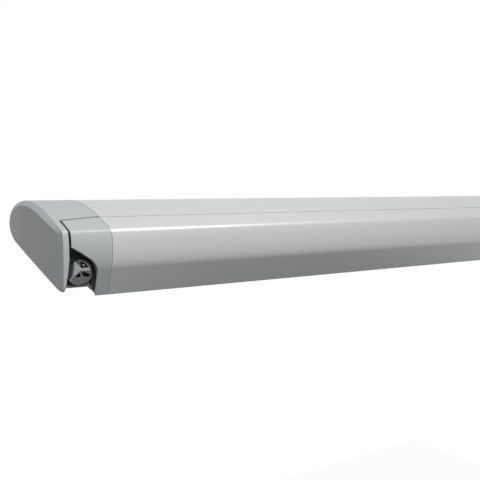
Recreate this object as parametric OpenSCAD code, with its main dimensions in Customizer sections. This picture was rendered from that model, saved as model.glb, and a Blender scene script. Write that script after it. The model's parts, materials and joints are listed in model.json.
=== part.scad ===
// Roll out awning for the roof of a caravan or camper.
// A long cassette holds a fabric roller, two folding arms and a lead rail, and
// the lead rail closes its front and carries two stowed legs.
// X runs along the cassette from the crank end, -Y is the side that rolls out
// and +Z is up. The origin is the middle of the mounting foot's drilled land.
// Sections are drawn in Y and Z from the crease along the lead rail's top
// edge, and seat() moves them to the origin.

/* [Awning] */
// Length of the closed awning over both end caps
awning_length = 2600; // [2500:50:3000]
// Travel of the lead rail from closed to fully open
projection = 2000; // [1600:50:2050]
// Slope of the open awning, for rain to run off
pitch = 8; // [7:0.5:9]
// Angle that each upper arm turns from closed to fully open
open_angle = 78; // [74:1:80]

/* [Cassette] */
// Height of the cassette's crown above the crease
crown_z = 35.5; // [34:0.5:38]
// Depth from the crease to the rear nose
nose_y = 229; // [227:1:232]
// Wall of the aluminium profiles
profile_wall = 2.2; // [1.8:0.1:2.4]
// Gap along the top between the lead rail and the cassette
seam_gap = 0.6; // [0.4:0.1:1]
// Slope of the cassette's floor
floor_angle = 15.1; // [14.5:0.1:15.4]

/* [Mounting foot] */
// Width of the foot's drilled land
foot_width = 40; // [36:1:44]
// Distance between the two outer adapter bolts
adapter_spacing = 2000; // [1800:50:2100]
// Diameter of the adapter bolt holes
adapter_hole_d = 8.5; // [8.4:0.1:9]
// Thickness of the foot's land
foot_wall = 3; // [2.5:0.1:3.5]

/* [End caps] */
// Length of an end cap, from its flat outer face to the aluminium
cap_length = 71; // [68:1:76]
// Width of the cheek that stands beside the lead rail's cap
cheek_width = 13.7; // [12:0.1:15]
// Depth of the chamfer round the cheek's outer face
cheek_chamfer = 6; // [4:0.5:7]
// Share of the chamfer's depth that the cheek's outer face falls back at the rear nose
cheek_fall = 0.92; // [0.5:0.02:0.96]
// Wall of the plastic caps
cap_wall = 3; // [2.6:0.1:3]
// Gap between the cheek and the lead rail's cap
cap_gap = 2.7; // [2:0.1:3]
// Gap behind the lead rail's cap, on top
top_gap = 4; // [3:0.1:5]

/* [Roller] */
// Outer diameter of the roller tube
roller_d = 48; // [44:1:50]
// Wall of the roller tube
roller_wall = 1.5; // [1.2:0.1:2.5]
// Outer diameter of the wound fabric
roll_d = 60; // [56:1:61]
// Thickness of the awning fabric
fabric_t = 0.5; // [0.4:0.05:0.6]
// Diameter of the bead that holds the fabric in the lead rail
keder_d = 6.4; // [6:0.1:6.6]
// Bare roller tube at each end of the fabric
fabric_margin = 34; // [30:1:45]

/* [Crank and gear] */
// Diameter of the crank eye
eye_d = 34; // [34:0.5:36]
// Turn of the crank eye at rest
eye_turn = 0; // [0:1:20]
// Teeth on the worm wheel
wheel_teeth = 26; // [24:2:28]
// Starts on the worm
worm_starts = 2; // [2:2:2]
// Distance between the worm and the roller axis
gear_distance = 21.5; // [21.2:0.1:21.8]

/* [Folding arms] */
// Distance from the middle of the cassette's end to a shoulder pivot
shoulder_inset = 100; // [96:1:110]
// Distance between the upper arm and the forearm when folded
arm_pitch = 34; // [33:0.5:35]
// Width of the upper arm tube
upper_arm_w = 28; // [26:0.5:29]
// Height of the upper arm tube
upper_arm_h = 44; // [42:1:46]
// Width of the forearm tube
forearm_w = 26; // [24:0.5:27]
// Height of the forearm tube
forearm_h = 38; // [36:1:40]
// Wall of the arm tubes
arm_wall = 2; // [1.6:0.1:2.4]
// Diameter of the pins in the arm joints
arm_pin_d = 10; // [9:0.5:11]

/* [Legs] */
// Width of a leg's outer tube
leg_w = 18; // [16:0.5:18]
// Height of a leg's outer tube
leg_h = 32; // [30:0.5:33]
// Distance between the pivots of the two stowed feet
foot_spacing = 286; // [240:2:300]
// Wall of the leg tubes
leg_wall = 1.5; // [1.2:0.1:1.8]
// Diameter of the pins in the leg joints
leg_pin_d = 8; // [7:0.5:9]
// Length of a foot
foot_length = 60; // [50:1:64]

/* [Clearances] */
// Radial running clearance of a pin or shaft in its bore
running = 0.05; // [0.03:0.01:0.08]
// Clearance between pieces that only lie close together
slip = 0.3; // [0.2:0.05:0.4]

/* [Hidden] */
$fn = 48;

// Points and curves of the section, in Y and Z from the crease
half = awning_length / 2;
seam_x = half - cap_length;
seam = [38, 14.6];
crown = [142, crown_z];
nose = [nose_y, -1];
floor_rear = [195, -28];
floor_slope = tan(floor_angle);
function floor_z(y) = floor_rear[1] + (y - floor_rear[0]) * floor_slope;
function on_floor(y) = [y, floor_z(y)];
rail_bottom = [15.4, -86.7];
rail_bend = [-0.3, -51];
crease_low = [-2.3, -3.2];
crease_high = [3.4, 1.35];
floor_front_y = 47;
cap_floor_front_y = [14, 21];
chin_low = [4, -76.5];
chin_front = [-3, -66];

function bez(a, b, c, d, n) = [for (i = [0 : n]) let (t = i / n, s = 1 - t)
    a * s * s * s + 3 * b * s * s * t + 3 * c * s * t * t + d * t * t * t];
function slice(p, a, b) = [for (i = [a : b]) p[i]];
function tail(p) = [for (i = [1 : len(p) - 1]) p[i]];
function backwards(p) = [for (i = [len(p) - 1 : -1 : 0]) p[i]];
function unit(v) = v / norm(v);
// A path moved to its right by a distance
function shifted(p, d) = [for (i = [0 : len(p) - 1])
    let (dir = unit(p[min(i + 1, len(p) - 1)] - p[max(i - 1, 0)]))
    p[i] + d * [dir[1], -dir[0]]];

front_curve = bez(rail_bend, [-5.2, -40], [-8, -15], crease_low, 10);
crease_curve = bez(crease_low, [-1.3, -1.2], [0.6, 0.3], crease_high, 4);
flange_curve = bez(crease_high, [14, 5.6], [26, 10.2], seam, 6);
top_curve = bez(seam, [66, seam[1] + 10.2], [102, crown[1]], crown, 10);
rear_curve = bez(crown, [185, crown[1]], [nose[0], 22], nose, 10);
nose_curve = bez(nose, [nose[0], -12], [213, floor_z(213)], floor_rear, 6);
chin_curve = bez(on_floor(36), [20, floor_z(20)], [14, chin_low[1]], chin_low, 4);
lip_curve = bez(chin_low, [-1, -76.5], [-3, -72], chin_front, 4);
cheek_front = bez(chin_front, [-5, -45], [-6.4, -14], crease_low, 6);

// Skin of the cassette from its top seam round the nose to the floor's edge
shell_path = concat([seam + [seam_gap, seam_gap * 0.37]], tail(top_curve),
    tail(rear_curve), tail(nose_curve), [on_floor(floor_front_y)]);
// Skin of the lead rail from its lower edge over the crease to the seam
rail_path = concat([rail_bottom], front_curve, tail(crease_curve),
    tail(flange_curve));
// Whole closed section, as the cheeks show it
cheek_path = concat(cheek_front, tail(crease_curve), tail(flange_curve),
    tail(top_curve), tail(rear_curve), tail(nose_curve), chin_curve,
    tail(lip_curve));

// Origin of the part, on the foot
foot_y = 165;
foot_z = -58;
module seat() {
    translate([0, -foot_y, -foot_z]) children();
}
// The left side as drawn, the right side as its mirror image
module sided(side) {
    if (side == "left") children();
    else mirror([1, 0, 0]) children();
}
// A Y, Z outline pulled along X
module along_x(x0, x1) {
    translate([x0, 0, 0]) rotate([90, 0, 90]) linear_extrude(x1 - x0) children();
}
// An X, Z outline pulled along Y
module along_y(y0, y1) {
    translate([0, y1, 0]) rotate([90, 0, 0]) linear_extrude(y1 - y0) children();
}
// An X, Y outline pulled along Z
module along_z(z0, z1) {
    translate([0, 0, z0]) linear_extrude(z1 - z0) children();
}
// A cylinder along X
module rod_x(r, x0, x1) {
    translate([x0, 0, 0]) rotate([0, 90, 0]) cylinder(r = r, h = x1 - x0);
}
// A cylinder along Y
module rod_y(r, y0, y1) {
    translate([0, y0, 0]) rotate([-90, 0, 0]) cylinder(r = r, h = y1 - y0);
}
// A cylinder along Z
module rod_z(r, z0, z1) {
    translate([0, 0, z0]) cylinder(r = r, h = z1 - z0);
}
module band(path, wall) {
    polygon(concat(path, backwards(shifted(path, wall))));
}
module rounded(w, h, r) {
    square([w - 2 * r, h], center = true);
    square([w, h - 2 * r], center = true);
    for (x = [-1, 1], y = [-1, 1])
        translate([x * (w / 2 - r), y * (h / 2 - r)]) circle(r);
}
module box(low, high) {
    translate(low) cube(high - low);
}
module at_yz(p) {
    translate([0, p[0], p[1]]) children();
}

// Screw channels on short webs, open on the side away from the web
channel_r = 4.4;
channel_reach = 7.4;
channel_seat = 8.4;
web_half = 1.6;
core_r = 2.1;
screw_r = 1.9;
head_r = 4;
head_h = 3;
housing_channels = [[100, crown_z - 12, 90], [nose_y - 9.4, 4, 0],
    [136, floor_z(136) + channel_seat, -90], [60, floor_z(60) + channel_seat, -90]];
rail_channels = [[8.2, -4.7, 150], [2.3, -31.8, 180], [35.2, -31.8, 0]];
module screw_channel(p) {
    translate([p[0], p[1]]) rotate(p[2]) difference() {
        union() {
            circle(channel_r);
            translate([0, -web_half]) square([channel_reach, 2 * web_half]);
        }
        circle(core_r);
        translate([-channel_r - 1, -core_r / 2]) square([channel_r + 1, core_r]);
    }
}

// Cassette
foot_left = foot_y - foot_width / 2;
foot_right = foot_y + foot_width / 2;
adapter_x = [-adapter_spacing / 2, 0, adapter_spacing / 2];
module foot_section() {
    difference() {
        polygon([[foot_left, foot_z], [foot_right, foot_z],
            on_floor(foot_right) + [0, 1.2], on_floor(foot_left) + [0, 1.2]]);
        polygon([[foot_left + foot_wall, foot_z + foot_wall],
            [foot_right - foot_wall, foot_z + foot_wall],
            on_floor(foot_right - foot_wall), on_floor(foot_left + foot_wall)]);
    }
}
module housing_profile() {
    color("silver") seat() difference() {
        union() {
            along_x(-seam_x, seam_x) band(shell_path, profile_wall);
            along_x(-seam_x, seam_x) foot_section();
            for (p = housing_channels) along_x(-seam_x, seam_x) screw_channel(p);
        }
        for (x = adapter_x) translate([x, foot_y, 0])
            rod_z(adapter_hole_d / 2, foot_z - 1, foot_z + foot_wall + 1);
        shoulder_bolt_frames() rod_z(shoulder_bolt_r + slip / 2, -2, 5);
    }
}
nut_side = 13;
nut_h = 6.5;
module slot_nuts() {
    color("dimgray") seat() for (x = adapter_x)
        translate([x, foot_y, foot_z + foot_wall]) difference() {
            translate([-nut_side / 2, -nut_side / 2, 0])
                cube([nut_side, nut_side, nut_h]);
            rod_z(4, -1, nut_h + 1);
        }
}
seal_lip = 3.4;
seal_jaw = 8;
module floor_seal() {
    color("black") seat() translate([0, floor_front_y, floor_z(floor_front_y)])
        rotate([floor_angle, 0, 0]) {
            for (z = [[-1.6, -0.05], [profile_wall + 0.05, profile_wall + 1.5]])
                box([-seam_x, -1.5, z[0]], [seam_x, seal_jaw, z[1]]);
            box([-seam_x, -seal_lip, -1.6], [seam_x, -0.05, 3.2]);
            translate([0, -1.3, 3.2]) rod_x(1.3, -seam_x, seam_x);
        }
}

// Cast frames that close the ends of the profile and carry the roller
frame_t = 6;
frame_front_y = 50;
roller_axis = [155, -2.5];
bush_wall = 3;
journal_r = 8;
frame_outline = shifted(concat(tail(tail(top_curve)), tail(rear_curve),
    tail(nose_curve), [on_floor(frame_front_y)]), cap_wall + slip);
module end_frame(side) {
    color("gainsboro") seat() sided(side) difference() {
        union() {
            along_x(-seam_x - frame_t, -seam_x - slip / 2) polygon(frame_outline);
            at_yz(roller_axis) rod_x(journal_r + bush_wall + 4,
                -seam_x - frame_t - 3, -seam_x + 6);
        }
        at_yz(roller_axis) rod_x(journal_r + bush_wall,
            -seam_x - frame_t - 4, -seam_x + 7);
        for (p = housing_channels) at_yz(p)
            rod_x(core_r + slip, -seam_x - frame_t - 1, -seam_x + 1);
    }
}
module end_frame_left() end_frame("left");
module end_frame_right() end_frame("right");

// Plastic cap over one end of the cassette
cheek_x = seam_x + cap_length - cheek_width;
gap_end_y = 28.9;
fall_from_y = 150;
face_inset = cheek_chamfer + 1;
cheek_face = shifted(cheek_path, face_inset);
fall_slope = cheek_fall * cheek_chamfer / (nose_y - face_inset - fall_from_y);
// Plan of the lead rail's cap, and with a grow of its room with the gap
module rail_cap_plan(grow) {
    polygon([[-cheek_x, -20], [1, -20], [1, seam[0] + grow],
        [-seam_x, seam[0] + grow], [-cheek_x, gap_end_y + grow]]);
}
module housing_cap_skin(floor_front) {
    // cheek with its chamfered outer face, which falls back towards the nose
    hull() {
        along_x(-half + cheek_chamfer, -half + cheek_chamfer + 0.5)
            polygon(cheek_path);
        along_x(-half, -half + 0.5) intersection() {
            polygon(cheek_face);
            translate([-50, -150]) square([50 + fall_from_y, 300]);
        }
        multmatrix([[1, fall_slope, 0, -fall_slope * fall_from_y], [0, 1, 0, 0], [0, 0, 1, 0]])
            along_x(-half, -half + 0.5) intersection() {
                polygon(cheek_face);
                translate([fall_from_y, -150]) square([150, 300]);
            }
    }
    along_x(-half + cheek_chamfer, -cheek_x) polygon(cheek_path);
    // skin that carries on the line of the aluminium
    along_x(-cheek_x - 1, -seam_x - 0.2) {
        band(concat([[seam[0] - 10, seam[1] - 3.9], seam], tail(top_curve),
            tail(rear_curve), tail(nose_curve),
            [on_floor(floor_front)]), cap_wall);
        // bulkhead behind the crank eye
        polygon([[44, floor_z(44) + 1], [47, floor_z(47) + 1], [47, 14], [44, 14]]);
    }
}
module housing_cap(side) {
    color("lightgray") seat() sided(side) difference() {
        housing_cap_skin(cap_floor_front_y[side == "left" ? 0 : 1]);
        // room inside the rear of the cheek
        intersection() {
            along_x(-half + cheek_chamfer + 2.5, -cheek_x + 0.5)
                polygon(shifted(concat(tail(top_curve), tail(rear_curve),
                    tail(nose_curve), [on_floor(48)]), cap_wall + 0.5));
            box([-half, 50, -100], [-cheek_x + 1, 240, 60]);
        }
        // room for the lead rail's cap
        translate([0, 0, -40]) linear_extrude(80) rail_cap_plan(top_gap);
        // floor cut back behind the leg's hinge block
        box([-seam_x - block_reach - 3, -20, -100], [-seam_x + 1, floor_front_y - 3, -30]);
        // way for the crank shaft
        if (side == "left") crank_frame() rod_y(shaft_r + 3, 0, 60);
        for (y = cap_screw_y) translate([-cap_screw_x, y, 0])
            rod_z(core_r + slip, floor_z(y) - 6, floor_z(y) + 8);
    }
}
module housing_cap_left() housing_cap("left");
module housing_cap_right() housing_cap("right");

// Gearbox on the crank end
crank_x = seam_x + 38.5;
eye_point = [10, -53.5];
eye_reach = roller_axis - eye_point;
shaft_tilt = atan2(eye_reach[1], eye_reach[0]) - asin(gear_distance / norm(eye_reach));
worm_y = sqrt(norm(eye_reach) * norm(eye_reach) - gear_distance * gear_distance);
shaft_r = 4;
worm_length = 28;
worm_outer = 6;
tooth_h = 2.3;
worm_r = worm_outer - tooth_h / 2;
wheel_r = gear_distance - worm_r;
gear_pitch = 2 * PI * wheel_r / wheel_teeth;
lead = worm_starts * gear_pitch;
lead_angle = atan(lead / (2 * PI * worm_r));
wheel_w = 8;
box_wall = 3.6;
box_r = wheel_r + tooth_h / 2 + 1 + box_wall;
box_out = crank_x + 13;
worm_case = 21;
cover_t = 3;
gearbox_screw_a = [25, 90, 155];
module crank_frame() {
    translate([-crank_x, eye_point[0], eye_point[1]]) rotate([shaft_tilt, 0, 0]) children();
}
// Frames on the axes of the screws that hold the gearbox cover
module gearbox_screw_frames() {
    for (a = gearbox_screw_a) at_yz(roller_axis) rotate([a, 0, 0])
        translate([-box_out, box_r + 1.4, 0]) children();
}
module gearbox_body() {
    color("darkgray") seat() difference() {
        union() {
            at_yz(roller_axis) rod_x(box_r, -box_out, -seam_x - frame_t - 3);
            gearbox_screw_frames() rod_x(4, 0, 16);
            crank_frame() box([-9, worm_y - worm_case, -7.6], [9, worm_y + worm_case, 12]);
        }
        at_yz(roller_axis) {
            rod_x(box_r - box_wall, -box_out - 1, -crank_x + wheel_w / 2 + 1);
            rod_x(journal_r + slip, -box_out, -seam_x);
        }
        crank_frame() {
            rod_y(worm_outer + 0.4, worm_y - worm_length / 2 - 1, worm_y + worm_length / 2 + 1);
            rod_y(shaft_r + 2, worm_y - 30, worm_y + 30);
        }
        gearbox_screw_frames() rod_x(core_r, -1, 12);
    }
}
module gearbox_cover() {
    color("dimgray") seat() difference() {
        union() {
            at_yz(roller_axis) rod_x(box_r, -box_out - cover_t, -box_out);
            gearbox_screw_frames() rod_x(4, -cover_t, 0);
        }
        at_yz(roller_axis) rod_x(journal_r - 3, -box_out - cover_t - 1, -box_out + 1);
        gearbox_screw_frames() rod_x(core_r + slip, -cover_t - 1, 1);
    }
}
module bush(r, wall, h) {
    difference() {
        cylinder(r = r + wall, h = h);
        translate([0, 0, -1]) cylinder(r = r + running, h = h + 2);
    }
}
worm_bush_h = 6;
module plain_bushes() {
    color("goldenrod") seat() {
        for (side = ["left", "right"]) sided(side) at_yz(roller_axis)
            translate([-seam_x - frame_t - 3, 0, 0]) rotate([0, 90, 0])
                bush(journal_r, bush_wall, frame_t + 8);
        crank_frame() for (y = [worm_y - worm_case, worm_y + worm_case - worm_bush_h])
            translate([0, y, 0]) rotate([-90, 0, 0]) bush(shaft_r, 2, worm_bush_h);
    }
}

// Fixings of the frames, caps and gearbox
cap_screw_y = [70, 190];
cap_screw_x = seam_x + 49;
module screw(length) {
    cylinder(r = screw_r, h = length);
    translate([0, 0, -head_h]) cylinder(r = head_r, h = head_h);
}
module housing_screws() {
    color("silver") seat() {
        for (side = ["left", "right"]) sided(side) {
            for (p = housing_channels) at_yz(p)
                translate([-seam_x - frame_t, 0, 0]) rotate([0, 90, 0]) screw(24);
            for (y = cap_screw_y) translate([-cap_screw_x, y, floor_z(y)])
                rotate([floor_angle, 0, 0]) screw(7);
        }
        gearbox_screw_frames() translate([-cover_t, 0, 0]) rotate([0, 90, 0]) screw(12);
    }
}

// Roller with its fabric
roller_r = roller_d / 2;
roller_half = seam_x - 16;
fabric_half = seam_x - fabric_margin;
module roller_tube() {
    color("silver") seat() at_yz(roller_axis) difference() {
        rod_x(roller_r, -roller_half, roller_half);
        rod_x(roller_r - roller_wall, -roller_half - 1, roller_half + 1);
    }
}
module roller_plug(reach) {
    rod_x(roller_r - roller_wall - running, -roller_half, -roller_half + 40);
    rod_x(roller_r, -roller_half - 3, -roller_half);
    rod_x(journal_r, -reach, -roller_half);
}
module roller_plug_left() {
    color("dimgray") seat() at_yz(roller_axis) roller_plug(box_out - 1);
}
module roller_plug_right() {
    color("dimgray") seat() at_yz(roller_axis) mirror([1, 0, 0])
        roller_plug(seam_x + frame_t + 4);
}
module fabric_roll() {
    color("slategray") seat() at_yz(roller_axis) difference() {
        rod_x(roll_d / 2, -fabric_half, fabric_half);
        rod_x(roller_r + 0.02, -fabric_half - 1, fabric_half + 1);
    }
}
// Worm wheel with teeth that lean as the worm's thread does
tooth_share = 0.34;
tip_cut = 0.5;
root_cut = 0.3;
module wheel_outline() {
    root = wheel_r - tooth_h / 2 - root_cut;
    circle(root);
    for (i = [0 : wheel_teeth - 1]) rotate(i * 360 / wheel_teeth)
        polygon([[root - 0.4, -tooth_share * gear_pitch * 0.72],
            [wheel_r + tooth_h / 2 - tip_cut, -tooth_share * gear_pitch * 0.3],
            [wheel_r + tooth_h / 2 - tip_cut, tooth_share * gear_pitch * 0.3],
            [root - 0.4, tooth_share * gear_pitch * 0.72]]);
}
module worm_wheel() {
    lean = 360 * wheel_w * tan(lead_angle) / (2 * PI * wheel_r);
    color("peru") seat() at_yz(roller_axis) translate([-crank_x, 0, 0]) difference() {
        union() {
            rotate([shaft_tilt, 0, 0]) rotate([0, 90, 0])
                rotate(-lean / 2) linear_extrude(wheel_w, center = true,
                    twist = -lean, slices = 4, $fn = 52) wheel_outline();
            rod_x(journal_r + 3, -7, wheel_w / 2 + 0.4);
        }
        rod_x(journal_r + 0.02, -8, 8);
    }
}

// Crank shaft with its worm and eye
module worm_outline() {
    steps = 24;
    polygon([for (i = [0 : steps - 1]) let (a = i * 360 / steps,
        phase = abs((a * worm_starts / 360) % 1 - 0.5) * 2,
        rise = min(1, max(0, (phase - (1 - tooth_share * 1.4)) / 0.28)))
        (worm_r - tooth_h / 2 + tooth_h * rise) * [cos(a), sin(a)]]);
}
module worm_shaft() {
    color("gray") seat() crank_frame() {
        difference() {
            rod_y(shaft_r, eye_back - eye_bore + 0.5, worm_y + worm_case + 2);
            rotate([0, eye_turn, 0]) translate([0, eye_back - eye_bore / 2, 0])
                rod_x(eye_pin_r + 0.02, -eye_r, eye_r);
        }
        translate([0, worm_y - worm_length / 2, 0]) rotate([-90, 0, 0])
            rotate(-180 * worm_length / lead)
                linear_extrude(worm_length, twist = -360 * worm_length / lead, slices = 32)
                    worm_outline();
    }
}
eye_r = eye_d / 2;
eye_front = -9;
eye_back = 30;
eye_bore = 12;
dome_r = 20;
dome_y = 8.5;
ridge_z = 6;
ridge_start = -2;
ridge_flat = 0.8;
facet_slope = [50, 70];
hip_turn = [-11.4, 0, 35];
// Windows in the upper and the lower facet, X along the ridge and Y up the facet
upper_window = [[-5.8, 10.8], [-1.2, 2.2], [8.8, 3], [5.9, 8], [0.9, 11], [-3.6, 12.4]];
lower_windows = [[[-7.6, 10.4], [-2.6, 5.6], [-0.1, 11.2], [-3.6, 13.6]],
    [[-0.7, 4.4], [2.6, 3.4], [13, 9.2], [10.8, 13.6], [3.6, 11.6]]];
window_depth = [9, 13];
ball_r = 3.6;
ball_at = [5.2, 3, 7.7];
// A frame on one of the eye's two front facets, Y up the facet and Z outwards
module facet_frame(side) {
    translate([0, eye_front, ridge_z]) mirror([0, 0, side]) rotate([facet_slope[side], 0, 0])
        children();
}
module crank_eye() {
    color("whitesmoke") seat() crank_frame() rotate([0, eye_turn, 0]) {
        difference() {
            intersection() {
                rod_y(eye_r, eye_front + ridge_flat, eye_back);
                union() {
                    translate([0, dome_y, 0]) sphere(dome_r);
                    rod_y(eye_r, dome_y, eye_back);
                }
            }
            for (side = [0, 1]) facet_frame(side) box([-40, -60, 0], [40, 60, 40]);
            // hip at the end of the ridge that faces the cheek
            mirror([1, 0, 0]) translate([-ridge_start, eye_front, ridge_z]) rotate(hip_turn)
                box([-40, -40, -60], [40, 0, 60]);
            facet_frame(0) translate([0, 0, -window_depth[0]]) linear_extrude(window_depth[0] + 1)
                polygon(upper_window);
            for (w = lower_windows) facet_frame(1) translate([0, 0, -window_depth[1]])
                linear_extrude(window_depth[1] + 1) polygon(w);
            rod_y(shaft_r + running, eye_back - eye_bore, eye_back + 1);
            translate([0, eye_back - eye_bore / 2, 0])
                rod_x(eye_pin_r + running, -eye_r - 1, eye_r + 1);
        }
        // ball at the bottom of the upper window
        translate(ball_at) sphere(ball_r);
    }
}
eye_pin_r = 2;
module crank_eye_pin() {
    color("gray") seat() crank_frame() rotate([0, eye_turn, 0])
        translate([0, eye_back - eye_bore / 2, 0])
            rod_x(eye_pin_r, -eye_r + 0.5, eye_r - 0.5);
}

// Folding arms. In the arms' own frame the origin is the left shoulder pivot,
// Y runs back up the slope and Z is along the pivots.
shoulder = [96, -22];
shoulder_x = half - shoulder_inset;
arm_offset = arm_pitch / 2;
arm_length = (projection + arm_pitch * (1 - cos(open_angle))) / (2 * sin(open_angle));
pin_r = arm_pin_d / 2;
shoulder_pin_r = pin_r + 1;
eye_height = 30;
tongue_h = 20;
wrist_h = 26;
wrist_eye_r = 12;
tube_start = 34;
plug_depth = 26;
module arm_frame() {
    translate([-shoulder_x, shoulder[0], shoulder[1]]) rotate([pitch, 0, 0]) children();
}
module arm_tube(w, h, y) {
    translate([0, y, 0]) along_x(tube_start, arm_length - tube_start) difference() {
        rounded(w, h, 5);
        rounded(w - 2 * arm_wall, h - 2 * arm_wall, 3);
    }
}
module plug(w, h, y, x0, x1) {
    translate([0, y, 0]) along_x(x0, x1)
        square([w - 2 * arm_wall - 6, h - 2 * arm_wall - slip], center = true);
    translate([0, y, 0]) along_x(x0, x1)
        square([w - 2 * arm_wall - slip, h - 2 * arm_wall - 6], center = true);
}
module shoulder_knuckle(side) {
    color("gray") seat() sided(side) arm_frame() difference() {
        union() {
            rod_z(15, -eye_height / 2, eye_height / 2);
            box([0, -upper_arm_w / 2 + 3, -eye_height / 2],
                [tube_start - 4, upper_arm_w / 2 - 3, eye_height / 2]);
            box([tube_start - 6, -upper_arm_w / 2, -upper_arm_h / 2],
                [tube_start - 0.01, upper_arm_w / 2, upper_arm_h / 2]);
            plug(upper_arm_w, upper_arm_h, 0, tube_start - 1, tube_start + plug_depth);
        }
        rod_z(shoulder_pin_r + running, -eye_height, eye_height);
    }
}
module upper_arm_tube(side) {
    color("silver") seat() sided(side) arm_frame() arm_tube(upper_arm_w, upper_arm_h, 0);
}
fork_in = tongue_h / 2 + slip;
fork_out = 17;
module elbow_fork(side) {
    e = arm_length - tube_start;
    color("gray") seat() sided(side) arm_frame() difference() {
        union() {
            for (z = [-fork_out, fork_in]) translate([0, 0, z]) linear_extrude(fork_out - fork_in)
                hull() {
                    translate([arm_length, -arm_offset]) circle(14, $fn = 32);
                    translate([e + 1, -upper_arm_w / 2 + 1]) square([4, upper_arm_w - 2]);
                    translate([arm_length - 4, upper_arm_w / 2 - 6]) square([5, 5]);
                }
            box([e + 0.01, -1, -fork_out], [arm_length + 2, upper_arm_w / 2 - 1, fork_out]);
            box([e + 0.01, -upper_arm_w / 2, -upper_arm_h / 2],
                [e + 5, upper_arm_w / 2, upper_arm_h / 2]);
            plug(upper_arm_w, upper_arm_h, 0, e - plug_depth, e + 1);
        }
        translate([arm_length, -arm_offset, 0]) rod_z(pin_r + running, -30, 30);
    }
}
module elbow_pin(side) {
    color("silver") seat() sided(side) arm_frame() translate([arm_length, -arm_offset, 0]) {
        rod_z(pin_r, -fork_out, fork_out);
        for (z = [-fork_out - 2.5, fork_out]) rod_z(pin_r + 3, z, z + 2.5);
    }
}
spring_r = 8;
module arm_spring(side) {
    color("dimgray") seat() sided(side) arm_frame() difference() {
        rod_x(spring_r, tube_start + plug_depth + 0.3, tube_start + 420);
        rod_x(spring_r - 2.5, tube_start + plug_depth - 1, tube_start + 421);
    }
}
module elbow_tongue(side) {
    e = arm_length - tube_start;
    color("gray") seat() sided(side) arm_frame() difference() {
        union() {
            translate([0, 0, -tongue_h / 2]) linear_extrude(tongue_h) hull() {
                translate([arm_length, -arm_offset]) circle(12, $fn = 32);
                translate([e + 1, -arm_pitch - forearm_w / 2 + 1]) square([3, forearm_w - 2]);
            }
            box([e + 0.01, -arm_pitch - forearm_w / 2, -forearm_h / 2],
                [e + 5, -arm_pitch + forearm_w / 2, forearm_h / 2]);
            plug(forearm_w, forearm_h, -arm_pitch, e - plug_depth, e + 1);
        }
        translate([arm_length, -arm_offset, 0]) rod_z(pin_r + running, -30, 30);
    }
}
module forearm_tube(side) {
    color("silver") seat() sided(side) arm_frame()
        arm_tube(forearm_w, forearm_h, -arm_pitch);
}
module wrist_knuckle(side) {
    color("gray") seat() sided(side) arm_frame() translate([0, -arm_pitch, 0]) difference() {
        union() {
            rod_z(wrist_eye_r, -wrist_h / 2, wrist_h / 2);
            box([0, -forearm_w / 2 + 3, -wrist_h / 2],
                [tube_start - 4, forearm_w / 2 - 3, wrist_h / 2]);
            box([tube_start - 6, -forearm_w / 2, -forearm_h / 2],
                [tube_start - 0.01, forearm_w / 2, forearm_h / 2]);
            plug(forearm_w, forearm_h, 0, tube_start - 1, tube_start + plug_depth);
        }
        rod_z(pin_r + running, -wrist_h, wrist_h);
    }
}
module left_shoulder_knuckle() shoulder_knuckle("left");
module left_upper_arm_tube() upper_arm_tube("left");
module left_elbow_fork() elbow_fork("left");
module left_elbow_pin() elbow_pin("left");
module left_arm_spring() arm_spring("left");
module left_elbow_tongue() elbow_tongue("left");
module left_forearm_tube() forearm_tube("left");
module left_wrist_knuckle() wrist_knuckle("left");
module right_shoulder_knuckle() shoulder_knuckle("right");
module right_upper_arm_tube() upper_arm_tube("right");
module right_elbow_fork() elbow_fork("right");
module right_elbow_pin() elbow_pin("right");
module right_arm_spring() arm_spring("right");
module right_elbow_tongue() elbow_tongue("right");
module right_forearm_tube() forearm_tube("right");
module right_wrist_knuckle() wrist_knuckle("right");

// Shoulder brackets, bolted down to the cassette's floor
lug_t = 6;
shoulder_lug = eye_height / 2 + slip;
shoulder_bolt_r = 3;
shoulder_bolt_y = 108;
shoulder_bolt_reach = 14;
pedestal_half = 21;
function inner_floor(y) = floor_z(y) + profile_wall / cos(floor_angle);
// Frames on the floor's outer face at the shoulder bolts, Z into the cassette
module shoulder_bolt_frames() {
    for (s = [-1, 1], d = [-1, 1])
        translate([s * shoulder_x + d * shoulder_bolt_reach, shoulder_bolt_y, floor_z(shoulder_bolt_y)])
            rotate([floor_angle, 0, 0]) children();
}
module shoulder_bracket(side) {
    color("gray") seat() difference() {
        sided(side) union() {
            arm_frame() {
                for (z = [-shoulder_lug - lug_t, shoulder_lug]) {
                    rod_z(16, z, z + lug_t);
                    box([-16, 0, z], [16, 24, z + lug_t]);
                }
                box([-16, 18, -shoulder_lug - lug_t], [16, 24, shoulder_lug + lug_t]);
            }
            // pedestal from the lower lug down to the floor
            translate([-shoulder_x, 0, 0]) along_x(-pedestal_half, pedestal_half)
                polygon([[88, inner_floor(88)], [119, inner_floor(119)],
                    [119, shoulder[1] - 14], [88, shoulder[1] - 19.5]]);
        }
        sided(side) arm_frame() {
            rod_z(17, -shoulder_lug, shoulder_lug);
            rod_z(shoulder_pin_r + running, -shoulder_lug - lug_t - 20, shoulder_lug + lug_t + 1);
        }
        shoulder_bolt_frames() rod_z(shoulder_bolt_r, 0, profile_wall + 9.5);
    }
}
module shoulder_bracket_left() shoulder_bracket("left");
module shoulder_bracket_right() shoulder_bracket("right");
module shoulder_bracket_bolts() {
    color("silver") seat() shoulder_bolt_frames() {
        rod_z(shoulder_bolt_r - 0.02, -0.5, profile_wall + 9);
        rod_z(5.5, -3.4, 0);
    }
}
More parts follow.
